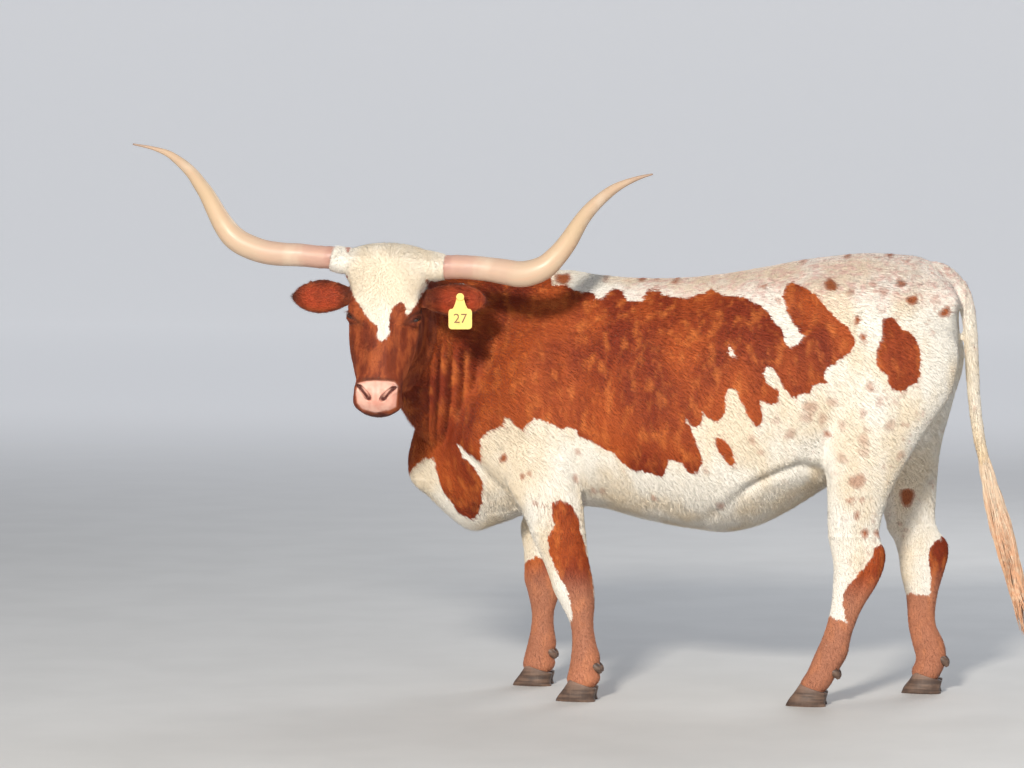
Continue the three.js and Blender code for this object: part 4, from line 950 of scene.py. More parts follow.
def markings(points):
    # For any points on the skin: how deep in the red, in the small spots, and in bare skin.
    points = np.asarray(points, float)
    x, y, z = points.T
    spots, folded = seen(points), flank_view(points)
    far_leg = (y > 60) & (z < 640) & (x > -620)
    crest = midline(points) + 30 + 16 * np.sin(x / 57) + 9 * np.sin(x / 23)
    near_side = (y < crest) | ((x < -840) & (z > 800))
    u, v = folded.T
    # The far side's outlines are plainer, so their edges are swayed to and fro as they are looked up.
    sway_u = 2.6 * np.sin(v / 4.1 + u / 17) + 1.6 * np.sin(v / 1.9 + 2)
    sway_v = 2.8 * np.sin(u / 4.7 + v / 13) + 1.5 * np.sin(u / 2.1)
    swayed = folded + np.stack([sway_u, sway_v], 1)
    red = np.where(near_side, painted(spots, near_red), painted(swayed, far_red))
    near_leg = (y < -60) & (z < 640)
    red[near_leg] = painted(spots[near_leg], near_red)
    red[far_leg] = painted(spots[far_leg], far_leg_red)
    throat = (x < -480) & ~near_side & ~far_leg
    line = 735 + 35 * np.sin(x / 47) + 0.4 * (x + 700)
    red[throat] = np.clip((z[throat] - line[throat]) / 4, -14, 14)
    edge, strength = dotted(spots, near_spots)
    far_edge, far_strength = dotted(folded, far_spots)
    swap = ~near_side & ~far_leg & ~near_leg
    edge, strength = np.where(swap, far_edge, edge), np.where(swap, far_strength, strength)
    a, d, f = from_head(points).T
    face = on_head_like(points)
    front = np.clip((f + 112 + 50 * step(70, 10, d)) / 3, -14, 14)
    collar = np.clip(np.minimum(np.abs(a) - 94, 80 - d) / 2, -14, 14)
    white = np.maximum(np.minimum(within(spots, blaze), front), collar)
    ear = (np.abs(a) > 118) & (d > 90)
    white = np.where(ear, -14, white)
    red = np.where(face, np.where(f > -150, -white, np.maximum(red, 6)), red)
    edge = np.where(face, -14, edge)
    pad = np.where(face & (f > -122) & (d > 380), within(spots, nose_pad), -14)
    bare = step(-1.5, 1.2, pad)
    from_udder = np.hypot((x - 538) / 95, np.hypot(y / 80, (z - 625) / 60))
    udder = step(0.75, 1.1, 1.6 - from_udder * 0.8) * (z < 660)
    under = (x > 380) & (x < 640) & (np.abs(y) < 90)
    bare = np.maximum(bare, np.where(under, udder, 0))
    roots = np.where(under & (bare > 0.05), -14, red)
    # Darker places: the ears' rims are dark; painted shade darkens each ear inside towards its root,
    # the eye slits and round them, the nostrils and lines on the face; the chin's underside and a band
    # over the nose pad are darker.
    ear_rim_and_root_shade, cup = np.zeros(len(points)), np.zeros(len(points))
    for root, ahead, facing, across, length in ears.values():
        off = points - root
        t, u, w = off @ ahead / length, off @ across, off @ facing
        at, *columns = zip(*ear_stations)
        wide, deep, wall = (np.interp(t, at, column) for column in columns)
        share = np.abs(u) / (wide / 2)
        bowl = 1 - np.clip(share, 0, 1) ** 2
        here = (t > 0.03) & (t < 1.04) & (share < 1.25)
        here &= (w > -deep * bowl - 9) & (w < (wall - deep) * bowl + 11)
        ear_rim_and_root_shade = np.where(here, np.maximum(step(0.7, 0.97, share), step(0.86, 1.0, t)), ear_rim_and_root_shade)
        inside = here & (w > (wall * 0.45 - deep) * bowl) & (t > 0.06)
        cup = np.where(inside, step(0.98, 0.4, share) * step(0.1, 0.36, t) * step(0.98, 0.74, t), cup)
        # Painted shade: the inside of each ear darkens towards its root. The rims above are the ear's
        # own dark edge.
        ear_rim_and_root_shade = np.where(inside, np.maximum(ear_rim_and_root_shade, 0.75 * step(0.36, 0.1, t)), ear_rim_and_root_shade)
    folded_head = np.stack([np.abs(a), d, f], 1)
    eye_off = folded_head - eye_at
    along_lid, over_lid = eye_off @ corner / slit_half, eye_off @ over
    lid_off = np.hypot(along_lid, over_lid / np.where(over_lid > 0, slit_up, slit_down))
    close_by = face & (np.linalg.norm(eye_off, axis=1) < 42)
    # Painted shade in the eye slits: dark inside each slit, with a fainter dark halo round it.
    eye_slit_shade = np.maximum(step(1.75, 1.2, lid_off), 0.45 * step(3.2, 1.4, lid_off))
    eye_slit_shade = np.where(close_by, eye_slit_shade, 0)
    chin = np.where(face, step(478, 494, d) * step(-62, -80, f), 0)
    over_pad = step(398, 410, d) * step(-60, -20, f) * step(60, 40, np.abs(a)) * step(428, 416, d)
    over_pad = np.where(face & (bare < 0.5), over_pad, 0)
    # Painted shade in the nostrils: dark along their hollows, inside and at the openings.
    off_slit = off_line(folded_head, [n[:3] for n in nostril])[0]
    slit = np.where(face, step(11.5, 6.5, off_slit), 0)
    slit *= step(4.0, -2.5, f - np.interp(np.abs(a), [20, 28, 38, 48, 58], [-24, -12, -6, -9, -20]))
    from_front = off_line(folded_head[:, :2], [n[:2] for n in nostril])[0]
    slit = np.maximum(slit, np.where(face & (f > -80), step(5.6, 3.4, from_front), 0))
    # Painted shade: the face's dark lines darken the skin under the brows, in the cheek folds and at
    # the face's edges.
    face_line_shade = np.zeros(len(points))
    for line, wide, deep in face_shade_lines:
        far, share = off_line(spots, line)
        fade = np.clip(np.minimum(share, 1 - share) / 0.25, 0, 1)
        face_line_shade = np.maximum(face_line_shade, deep * np.exp(-((far / wide) ** 2)) * (0.25 + 0.75 * fade))
    face_line_shade = np.where(face & (f > -100), face_line_shade, 0)
    dark = np.maximum.reduce([0.8 * ear_rim_and_root_shade, eye_slit_shade, 0.8 * chin, 0.7 * over_pad, slit, face_line_shade])
    shank = step(420, 300, z) * (red > -2)
    pink = step(318, 285, spots[:, 1]) * step(600, 650, spots[:, 0]) * (z > 1150)
    return {
        "red": roots, "dots": edge, "dot_strength": strength, "bare": bare, "dark": dark, "cup": cup,
        "nostril": slit, "shank": shank, "pink": pink * (red < 0), "face": face * 1.0,
        "tail": step(900, 700, z) * (x > 866),
    }


def keep_values(mesh, values, each=1):
    for name, value in values.items():
        layer = mesh.attributes.new(name, "FLOAT", "POINT")
        layer.data.foreach_set("value", np.repeat(value, each).astype(np.float32))


def keep_vectors(mesh, name, vectors):
    layer = mesh.attributes.new(name, "FLOAT_VECTOR", "POINT")
    layer.data.foreach_set("vector", vectors.astype(np.float32).ravel())


skin_marks = markings(points)
keep_values(skin.data, skin_marks)
keep_vectors(skin.data, "root_at", home(points))


# The coat's finish: red and white hair with ticking at the edges, a warm cast that differs from place
# to place, pink bare skin on nose and udder, and painted shade in the eye slits, nostrils, ear roots,
# face lines and at the roots of the hairs.
# Skin and tufts share it and read it at the root.
def new_finish(name):
    finish = bpy.data.materials.new(name)
    finish.use_nodes = True
    tree = finish.node_tree
    tree.nodes.clear()
    output = tree.nodes.new("ShaderNodeOutputMaterial")
    surface = tree.nodes.new("ShaderNodeBsdfPrincipled")
    tree.links.new(surface.outputs[0], output.inputs[0])
    return finish, tree, surface


def add(tree, kind, *inputs, **settings):
    made = tree.nodes.new(kind)
    for key, value in settings.items():
        setattr(made, key, value)
    for i, value in enumerate(inputs):
        if value is None:
            continue
        if isinstance(value, bpy.types.NodeSocket):
            tree.links.new(value, made.inputs[i])
        else:
            made.inputs[i].default_value = value
    return made


def value_of(tree, name):
    return add(tree, "ShaderNodeAttribute", attribute_name=name).outputs["Fac"]


def sum_of(tree, first, second, how="ADD", clamp=False):
    return add(tree, "ShaderNodeMath", first, second, operation=how, use_clamp=clamp).outputs[0]


def ramp(tree, value, low, high, to_low=0.0, to_high=1.0):
    made = add(tree, "ShaderNodeMapRange", value, low, high, to_low, to_high)
    made.interpolation_type = "SMOOTHSTEP"
    return made.outputs[0]


def blend_colour(tree, share, first, second, how="MIX"):
    made = tree.nodes.new("ShaderNodeMix")
    made.data_type = "RGBA"
    made.blend_type = how
    for slot, value in ((0, share), (6, first), (7, second)):
        if isinstance(value, bpy.types.NodeSocket):
            tree.links.new(value, made.inputs[slot])
        else:
            made.inputs[slot].default_value = value if slot == 0 else (*value, 1)
    return made.outputs[2]


def noise(tree, place, scale, detail=2.0, rough=0.5):
    return add(tree, "ShaderNodeTexNoise", place, None, scale, detail, rough).outputs[0]


def stretched(tree, place, scale):
    return add(tree, "ShaderNodeMapping", place, None, None, scale).outputs[0]


coat, tree, surface = new_finish("coat_finish")
root_place = add(tree, "ShaderNodeAttribute", attribute_name="root_at").outputs["Vector"]
fine = sum_of(tree, noise(tree, root_place, 190, 1.0), 0.5, "SUBTRACT")
middling = sum_of(tree, noise(tree, root_place, 60, 2.0), 0.5, "SUBTRACT")
ragged = sum_of(tree, sum_of(tree, fine, 3.4, "MULTIPLY"), sum_of(tree, middling, 5.0, "MULTIPLY"))
in_red = ramp(tree, sum_of(tree, value_of(tree, "red"), ragged), -0.7, 0.7)
dot_edge = value_of(tree, "dots")
dots = ramp(tree, sum_of(tree, dot_edge, sum_of(tree, ragged, 0.8, "MULTIPLY")), -0.9, 1.1)
dots = sum_of(tree, dots, value_of(tree, "dot_strength"), "MULTIPLY")
dots = sum_of(tree, dots, ramp(tree, dot_edge, 1.0, 4.2, 0.8, 1.35), "MULTIPLY", clamp=True)
broad = noise(tree, stretched(tree, root_place, (7, 7, 4)), 1.0, 3.0)
streaky = noise(tree, stretched(tree, root_place, (34, 34, 14)), 1.0, 3.0)
red_dark, red_mid, red_lit = (0.235, 0.030, 0.007), (0.43, 0.080, 0.014), (0.62, 0.165, 0.034)
red_colour = blend_colour(tree, ramp(tree, broad, 0.36, 0.62), red_dark, red_mid)
red_colour = blend_colour(tree, ramp(tree, streaky, 0.46, 0.72, 0.0, 0.75), red_colour, red_lit)
face = value_of(tree, "face")
face_streaks = ramp(tree, streaky, 0.4, 0.62)
face_dark = blend_colour(tree, face_streaks, (0.19, 0.035, 0.014), (0.40, 0.09, 0.028))
red_colour = blend_colour(tree, sum_of(tree, face, 0.75, "MULTIPLY"), red_colour, face_dark)
shank = sum_of(tree, value_of(tree, "shank"), 0.62, "MULTIPLY")
red_colour = blend_colour(tree, shank, red_colour, (0.60, 0.285, 0.17))
cream = ramp(tree, broad, 0.38, 0.66)
white_colour = blend_colour(tree, cream, (0.93, 0.885, 0.80), (0.86, 0.745, 0.575))
flushed = ramp(tree, middling, -0.05, 0.16, 0.15, 0.75)
pink_patch = sum_of(tree, value_of(tree, "pink"), flushed, "MULTIPLY")
white_colour = blend_colour(tree, pink_patch, white_colour, (0.78, 0.52, 0.46))
# Ticking: single red hairs strewn in the white, thickest near the patches.
cells = add(tree, "ShaderNodeTexVoronoi", root_place, None, 85.0, feature="F1").outputs["Distance"]
near_edge = ramp(tree, value_of(tree, "red"), -14.0, -1.0, 0.12, 0.42)
tick_share = ramp(tree, broad, 0.40, 0.58, 0.05, 0.55)
ticked = sum_of(tree, ramp(tree, cells, near_edge, 0.0), tick_share, "MULTIPLY")
cells_wide = add(tree, "ShaderNodeTexVoronoi", root_place, None, 17.0, feature="F1").outputs["Distance"]
ring_inside = ramp(tree, cells_wide, 0.08, 0.2, 0.45, 1.0)
ring = sum_of(tree, ramp(tree, cells_wide, 0.34, 0.26), ring_inside, "MULTIPLY")
haunch = ramp(tree, add(tree, "ShaderNodeSeparateXYZ", root_place).outputs[0], 0.45, 0.95)
ring = sum_of(tree, ring, haunch, "MULTIPLY")
ring = sum_of(tree, ring, ramp(tree, middling, -0.02, 0.1, 0.0, 0.34), "MULTIPLY")
specks = sum_of(tree, sum_of(tree, ticked, ring, "MAXIMUM"), dots, "MAXIMUM")
specks = sum_of(tree, specks, sum_of(tree, 1.0, face, "SUBTRACT"), "MULTIPLY")
white_colour = blend_colour(tree, specks, white_colour, (0.40, 0.12, 0.045))
white_colour = blend_colour(tree, value_of(tree, "tail"), white_colour, (0.86, 0.66, 0.42))
hair_colour = blend_colour(tree, in_red, white_colour, red_colour)
cup = sum_of(tree, value_of(tree, "cup"), ramp(tree, streaky, 0.3, 0.6, 0.55, 1.0), "MULTIPLY")
hair_colour = blend_colour(tree, cup, hair_colour, (0.62, 0.10, 0.035))
# Dark rims of the ears, and painted shade at the ear roots, in and round the eye slits, in the nostrils
# and along the face lines.
dark_and_shade = sum_of(tree, value_of(tree, "dark"), 0.86, "MULTIPLY")
hair_colour = blend_colour(tree, dark_and_shade, hair_colour, (0.05, 0.016, 0.011))
skin_colour = blend_colour(tree, ramp(tree, streaky, 0.35, 0.7), (0.86, 0.50, 0.39), (0.72, 0.33, 0.25))
bare = value_of(tree, "bare")
# Each tuft takes a random tone, and painted shade makes the hair a little darker at the root than at
# the tip.
each_tuft = ramp(tree, value_of(tree, "chance"), 0.0, 1.0, 0.91, 1.09)
along_tuft = ramp(tree, value_of(tree, "along"), 0.0, 1.0, 0.93, 1.06)
tone_and_root_shade = sum_of(tree, each_tuft, along_tuft, "MULTIPLY")
tone_and_root_shade_colour = add(tree, "ShaderNodeCombineColor", tone_and_root_shade, tone_and_root_shade, tone_and_root_shade).outputs[0]
hair_colour = blend_colour(tree, 1.0, hair_colour, tone_and_root_shade_colour, "MULTIPLY")
frayed = sum_of(tree, bare, ramp(tree, streaky, 0.4, 0.6, -0.1, 0.1))
edge_of_pad = ramp(tree, frayed, 0.35, 0.95, 1.0, 0.0)
skin_colour = blend_colour(tree, edge_of_pad, skin_colour, (0.50, 0.22, 0.14))
# Painted shade: the nostrils' hollows are darkened.
skin_colour = blend_colour(tree, value_of(tree, "nostril"), skin_colour, (0.10, 0.03, 0.024))
tree.links.new(blend_colour(tree, bare, hair_colour, skin_colour), surface.inputs["Base Color"])
tree.links.new(ramp(tree, bare, 0.0, 1.0, 0.68, 0.42), surface.inputs["Roughness"])
surface.inputs["Sheen Weight"].default_value = 0.05
surface.inputs["Sheen Roughness"].default_value = 0.4
surface.inputs["Specular IOR Level"].default_value = 0.25
pebbles = add(tree, "ShaderNodeTexVoronoi", root_place, None, 330.0, feature="SMOOTH_F1")
pebbles = pebbles.outputs["Distance"]
hairs = noise(tree, stretched(tree, root_place, (420, 420, 150)), 1.0, 2.0, 0.6)
relief = add(tree, "ShaderNodeMix", bare, hairs, pebbles).outputs[0]
bumps = add(tree, "ShaderNodeBump", 0.22, 0.002, None, relief)
tree.links.new(bumps.outputs[0], surface.inputs["Normal"])
skin.data.materials.clear()
skin.data.materials.append(coat)
skin.data.polygons.foreach_set("material_index", [0] * len(skin.data.polygons))
keep_values(skin.data, {"chance": np.full(len(points), 0.45), "along": np.full(len(points), 0.4)})


# Short hair: slim tufts over the whole skin, each a spike of four faces that lies along the coat.
# How the hair lies, how long it is and how far it stands off are set for each part of the body.
def unit(vectors):
    return vectors / np.maximum(np.linalg.norm(vectors, axis=-1, keepdims=True), 1e-9)


x, y, z = points.T
a, d, f = from_head(points).T
lie = np.zeros_like(points)
lie[:] = (1, 0, -0.3)
lie += np.stack([np.zeros(len(points)), np.zeros(len(points)), -0.6 * step(1250, 900, z)], 1)
neck_turn = np.radians(np.interp(-x, [420, 550, 665, 760, 820, 858], [0, 8, 26, 50, 70, 88]))
on_neck = step(-430, -560, x) * step(700, 860, z)
neck_lie = np.stack([np.cos(neck_turn), np.sin(neck_turn), np.full(len(points), -0.55)], 1)
lie = lie * (1 - on_neck[:, None]) + neck_lie * on_neck[:, None]
in_leg = step(760, 560, z) * ((np.abs(y) > 70) | (z < 500))
lie = lie * (1 - in_leg[:, None]) + np.array([0.22, 0, -1]) * in_leg[:, None]
in_tail = (x > 838) & ~(z > 1262)
lie[in_tail] = (0.14, -0.05, -1)
whorl_at = 62.0
spread = np.stack([a * 1.0, d - whorl_at, np.zeros(len(a))], 1) / 60
on_face = skin_marks["face"] > 0.5
face_lie = np.where((np.hypot(a, d - whorl_at) < 150)[:, None], unit(spread), np.array([0.0, 1, 0]))
face_lie += np.array([0, 0.5, 0]) * step(60, 200, d)[:, None]
face_lie = unit(face_lie + np.stack([a / 220, 0 * a, -0.3 + 0 * a], 1))
lie[on_face] = (face_lie @ head_axes)[on_face]
on_ear = on_face & (np.abs(a) > 118) & (d > 80)
for sign, name in ((1, "left"), (-1, "right")):
    lie[on_ear & (a * sign > 0)] = ears[name][1]
lie -= normals * (lie * normals).sum(1, keepdims=True)
lie = unit(lie)

# Tuft lengths in mm; the node tree takes them as shares of the usual one.
usual_tuft = 13.0
tuft_long = np.full(len(points), usual_tuft)
tuft_long += 5 * on_neck + 4 * step(1235, 1285, z) * (x < 700)
tuft_long -= 4.0 * step(560, 420, z)
belly_edge = step(-0.2, -0.75, normals[:, 2]) * (z > 500)
tuft_long += 5 * belly_edge * (x < 420)
back_of_leg = (z < 700) & (normals[:, 0] > 0.5) & (z > 90)
tuft_long[back_of_leg] += 4
tuft_long[on_face] = 7.0
tuft_long[on_face & (d < 40)] = 12.0
tuft_long[on_face & (d > 330)] = 5.0
tuft_long[on_face & (d > 440)] = 4.0
tuft_long[on_ear] = 11.0
tuft_long[on_face & (skin_marks["cup"] > 0.3)] = 15.0
tuft_long[in_tail] = 17.0
stand = 0.07 + 0.05 * on_neck + 0.22 * belly_edge + 0.1 * step(1235, 1285, z)
stand[on_face & (d < 40)] = 0.3
stand[on_ear] = 0.3
thick_set = np.ones(len(points))
thick_set[skin_marks["bare"] > 0.3] = 0
thick_set[on_face & (skin_marks["dark"] > 0.85) & ~on_ear] = 0.0
thick_set[z < 48] = 0
heady = step(-250, -150, f) * step(-90, -50, d) * (x < -600) * (d < 540)
low_leg = step(620, 420, z)
tuft_wide = 1 - 0.42 * heady - 0.22 * low_leg
thick_set *= 1 + 1.1 * heady + 0.25 * low_leg
# Lashes stand out over the eye and droop a little.
from_eye = np.stack([np.abs(a), d, f], 1) - eye_at
along_lid, over_lid = from_eye @ corner, from_eye @ over
lashes = on_face & (np.linalg.norm(from_eye, axis=1) < 34)
lashes &= (np.abs(along_lid) < 19) & (over_lid > 4.5) & (over_lid < 10)
droop = (gaze - 0.35 * over - 0.25 * corner)[None] * np.stack([np.sign(a), 1 + 0 * a, 1 + 0 * a], 1)
lie[lashes] = unit(droop @ head_axes)[lashes]
tuft_long[lashes] = 15.0
stand[lashes] = 0.25
thick_set[lashes] = 2.4
tuft_values = {
    "tuft_long": tuft_long / usual_tuft, "tuft_wide": tuft_wide, "stand": stand, "thick_set": thick_set,
}
keep_values(skin.data, tuft_values)
keep_vectors(skin.data, "lie", lie)

spike = bpy.data.meshes.new("hair_tuft")
spike_points = [(0, -0.5, 0), (0, 0.5, 0), (0, 0, 0.4), (1, 0, 0.06)]
spike.from_pydata(spike_points, [], [(0, 2, 1), (0, 1, 3), (1, 2, 3), (2, 0, 3)])
shade_smooth(spike)
keep_vectors(spike, "patch", np.array([(0, 0, 0), (0, 1, 0), (0.5, 0.5, 0), (1, 0.5, 0)]))
keep_values(spike, {"along": [0, 0, 0, 1]})
tuft_shape = bpy.data.objects.new("hair_tuft", spike)
scene.collection.objects.link(tuft_shape)


def tuft_tree():
    tree = bpy.data.node_groups.new("tufts_on_skin", "GeometryNodeTree")
    face = tree.interface
    face.new_socket("Skin", in_out="OUTPUT", socket_type="NodeSocketGeometry")
    face.new_socket("Skin", in_out="INPUT", socket_type="NodeSocketGeometry")
    for name, kind in (
        ("Tuft", "Object"), ("Per square metre", "Float"), ("Length", "Float"), ("Width", "Float"),
        ("Seed", "Int"), ("Finish", "Material"),
    ):
        face.new_socket(name, in_out="INPUT", socket_type="NodeSocket" + kind)
    start, end = tree.nodes.new("NodeGroupInput"), tree.nodes.new("NodeGroupOutput")
    given = start.outputs

    def held(name, kind="FLOAT"):
        made = tree.nodes.new("GeometryNodeInputNamedAttribute")
        made.data_type = kind
        made.inputs[0].default_value = name
        return made.outputs[0]

    def chance(low, high, offset, kind="FLOAT"):
        made = tree.nodes.new("FunctionNodeRandomValue")
        made.data_type = kind
        made.inputs[0 if kind == "FLOAT_VECTOR" else 2].default_value = low
        made.inputs[1 if kind == "FLOAT_VECTOR" else 3].default_value = high
        tree.links.new(sum_of(tree, given["Seed"], float(offset)), made.inputs["Seed"])
        return made.outputs[0 if kind == "FLOAT_VECTOR" else 1]

    def kept(geometry, name, value, kind, domain="POINT"):
        made = tree.nodes.new("GeometryNodeStoreNamedAttribute")
        made.data_type, made.domain = kind, domain
        tree.links.new(geometry, made.inputs[0])
        made.inputs["Name"].default_value = name
        tree.links.new(value, made.inputs["Value"])
        return made.outputs[0]

    def vector_sum(first, second, how="ADD"):
        made = add(tree, "ShaderNodeVectorMath", first, None, operation=how)
        if how == "SCALE":
            tree.links.new(second, made.inputs["Scale"])
        elif isinstance(second, bpy.types.NodeSocket):
            tree.links.new(second, made.inputs[1])
        return made.outputs[0]

    dense = sum_of(tree, held("region"), given["Per square metre"], "MULTIPLY")
    dense = sum_of(tree, held("thick_set"), dense, "MULTIPLY")
    strewn = tree.nodes.new("GeometryNodeDistributePointsOnFaces")
    strewn.distribute_method = "RANDOM"
    tree.links.new(given["Skin"], strewn.inputs["Mesh"])
    tree.links.new(dense, strewn.inputs["Density"])
    tree.links.new(given["Seed"], strewn.inputs["Seed"])
    points_out, normal = strewn.outputs["Points"], strewn.outputs["Normal"]
    position = tree.nodes.new("GeometryNodeInputPosition").outputs[0]
    geometry = kept(points_out, "root_at", position, "FLOAT_VECTOR")
    geometry = kept(geometry, "chance", chance(0.0, 1.0, 1), "FLOAT")
    geometry = kept(geometry, "root_map", held("OFBake", "FLOAT_VECTOR"), "FLOAT_VECTOR")
    off_skin = vector_sum(normal, held("stand"), "SCALE")
    stray = chance((-0.15, -0.15, -0.15), (0.15, 0.15, 0.15), 2, "FLOAT_VECTOR")
    ahead = vector_sum(vector_sum(held("lie", "FLOAT_VECTOR"), off_skin), stray)
    turned = add(tree, "FunctionNodeAlignRotationToVector", None, None, ahead, axis="X")
    turned = add(tree, "FunctionNodeAlignRotationToVector", turned.outputs[0], None, normal, axis="Z")
    turned.pivot_axis = "X"
    long = sum_of(tree, given["Length"], held("tuft_long"), "MULTIPLY")
    long = sum_of(tree, long, chance(0.7, 1.3, 3), "MULTIPLY")
    wide = sum_of(tree, given["Width"], held("tuft_wide"), "MULTIPLY")
    wide = sum_of(tree, wide, chance(0.75, 1.25, 4), "MULTIPLY")
    size = add(tree, "ShaderNodeCombineXYZ", long, wide, wide).outputs[0]
    shape = tree.nodes.new("GeometryNodeObjectInfo")
    tree.links.new(given["Tuft"], shape.inputs[0])
    placed = tree.nodes.new("GeometryNodeInstanceOnPoints")
    tree.links.new(geometry, placed.inputs["Points"])
    tree.links.new(shape.outputs["Geometry"], placed.inputs["Instance"])
    tree.links.new(turned.outputs[0], placed.inputs["Rotation"])
    tree.links.new(size, placed.inputs["Scale"])
    real = add(tree, "GeometryNodeRealizeInstances", placed.outputs[0]).outputs[0]
    # A tuft covers a small square of the map beside its root.
    map_square = 0.003
    patch = add(tree, "ShaderNodeVectorMath", held("patch", "FLOAT_VECTOR"), operation="MULTIPLY")
    patch.inputs[1].default_value = (map_square, map_square, 0)
    on_map = vector_sum(held("root_map", "FLOAT_VECTOR"), patch.outputs[0])
    real = kept(real, "OFBake", on_map, "FLOAT2", "CORNER")
    for name in ("root_map", "patch", "lie", "stand", "thick_set", "region", "tuft_long", "tuft_wide"):
        gone = tree.nodes.new("GeometryNodeRemoveAttribute")
        tree.links.new(real, gone.inputs[0])
        gone.inputs["Name"].default_value = name
        real = gone.outputs[0]
    finished = tree.nodes.new("GeometryNodeSetMaterial")
    tree.links.new(real, finished.inputs[0])
    tree.links.new(given["Finish"], finished.inputs["Material"])
    tree.links.new(finished.outputs[0], end.inputs[0])
    return tree


def grow(tree, name, per_metre, long, wide, seed):
    # The skin's own copy carries the tree, and what it makes becomes a plain mesh.
    bearer = skin.copy()
    scene.collection.objects.link(bearer)
    growth = bearer.modifiers.new("growth", "NODES")
    growth.node_group = tree
    sockets = tree.interface.items_tree
    inputs = {item.name: item.identifier for item in sockets if item.in_out == "INPUT"}
    for key, value in (
        ("Tuft", tuft_shape), ("Per square metre", per_metre), ("Length", long), ("Width", wide),
        ("Seed", seed), ("Finish", coat),
    ):
        growth[inputs[key]] = value
    bpy.context.view_layer.update()
    graph = bpy.context.evaluated_depsgraph_get()
    mesh = bpy.data.meshes.new_from_object(bearer.evaluated_get(graph))
    mesh.name = name
    bpy.data.objects.remove(bearer)
    flat = np.empty(len(mesh.vertices) * 3, np.float32)
    mesh.attributes["root_at"].data.foreach_get("vector", flat)
    roots = flat.reshape(-1, 3)[::4].astype(float)
    for worn in skin_marks:
        if worn in mesh.attributes:
            mesh.attributes.remove(mesh.attributes[worn])
    keep_values(mesh, markings(away(roots)), each=4)
    piece = bpy.data.objects.new(name, mesh)
    scene.collection.objects.link(piece)
    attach(piece, "root")
    return piece


tree = tuft_tree()
tuft_length, tuft_width, tufts_in_all, most_tufts, first_seed = 13e-3, 1.45e-3, 352000, 49000, 11
corners = np.empty(len(skin.data.loops), np.int32)
skin.data.loops.foreach_get("vertex_index", corners)
triangles = corners.reshape(-1, 3)
corner_at = home(points)[triangles]
one_side, other_side = corner_at[:, 1] - corner_at[:, 0], corner_at[:, 2] - corner_at[:, 0]
area = np.linalg.norm(np.cross(one_side, other_side), axis=1) / 2
weight = area * thick_set[triangles].mean(1)
per_metre = tufts_in_all / weight.sum()
# The coat is parted into slabs from muzzle to tail, as many as it takes for each to hold fewer than
# about most_tufts tufts. The coat is parted into slabs from muzzle to tail, each under the limit on
# a piece's faces.
slabs = int(np.ceil(tufts_in_all / most_tufts))
middle = x[triangles].mean(1)
order = np.argsort(middle)
filled = np.cumsum(weight[order]) / weight.sum()
bounds = [np.interp(n / slabs, filled, middle[order]) for n in range(slabs + 1)]
bounds[0], bounds[-1] = -2000, 2000
skin.data.attributes.new("region", "FLOAT", "FACE")
for number, (low, high) in enumerate(zip(bounds[:-1], bounds[1:])):
    inside = ((middle >= low) & (middle < high)).astype(np.float32)
    skin.data.attributes["region"].data.foreach_set("value", inside)
    piece = grow(tree, f"coat_{number + 1}", per_metre, tuft_length, tuft_width, first_seed + number)
bpy.data.objects.remove(tuft_shape)

# Horns: two long hollow sheaths of keratin over bone, pink and ridged at the root, cream along the
# curve and worn smooth at the tips. Stops are sideways, down, out and radius in the head's frame.
horn_stops = {
    "left": [
        (118, 46, -42, 37), (173, 44, -42, 36), (215, 41, -42, 36), (261, 42, -40, 36),
        (306, 46, -35, 36.5), (353, 53, -28, 38), (399, 60, -19, 39), (438, 54, -11, 38),
        (473, 38, -4, 35.5), (498, 13, 0, 32.5), (520, -16, 1, 30), (539, -48, -1, 28),
        (555, -82, -5, 25.5), (571, -115, -10, 23), (592, -149, -15, 21), (620, -184, -21, 18.5),
        (655, -219, -27, 15), (691, -244, -32, 10.5), (734, -265, -35, 6), (772, -278, -36, 2.5),
    ],
    "right": [
        (118, 36, -42, 36), (169, 33, -42, 34), (209, 33, -42, 34), (269, 31, -39, 34.5),
        (329, 33, -33, 35.5), (383, 29, -26, 36), (439, 13, -15, 36), (474, -8, -7, 35),
        (502, -39, -2, 32), (526, -74, -1, 28.5), (547, -108, -3, 26), (568, -140, -8, 23.5),
        (593, -172, -14, 21), (613, -197, -19, 18.8), (639, -222, -24, 16.5),
        (670, -246, -29, 13.5), (703, -266, -33, 10), (752, -281, -36, 5.5), (811, -290, -36, 2.5),
    ],
}
horn_sides, horn_steps = 64, 9
horn, tree, surface = new_finish("horn_finish")
along_horn = value_of(tree, "along")
horn_place = add(tree, "ShaderNodeAttribute", attribute_name="laid_out").outputs["Vector"]
cloudy = noise(tree, stretched(tree, horn_place, (9, 5, 5)), 1.0, 3.0)
grain = noise(tree, stretched(tree, horn_place, (14, 90, 90)), 1.0, 3.0)
place = sum_of(tree, along_horn, ramp(tree, cloudy, 0.3, 0.7, -0.05, 0.05))
bands = tree.nodes.new("ShaderNodeValToRGB")
tree.links.new(place, bands.inputs[0])
stops = [
    (0.0, (0.42, 0.21, 0.165)), (0.07, (0.54, 0.32, 0.25)), (0.18, (0.56, 0.355, 0.27)),
    (0.32, (0.60, 0.435, 0.31)), (0.6, (0.62, 0.45, 0.285)), (0.85, (0.57, 0.41, 0.28)),
    (1.0, (0.36, 0.25, 0.19)),
]
while len(bands.color_ramp.elements) < len(stops):
    bands.color_ramp.elements.new(0.5)
for element, (at, colour) in zip(bands.color_ramp.elements, stops):
    element.position = at
    element.color = (*colour, 1)
streaks = ramp(tree, grain, 0.5, 0.72, 0.0, 0.34)
horn_colour = blend_colour(tree, streaks, bands.outputs[0], (0.66, 0.40, 0.27))
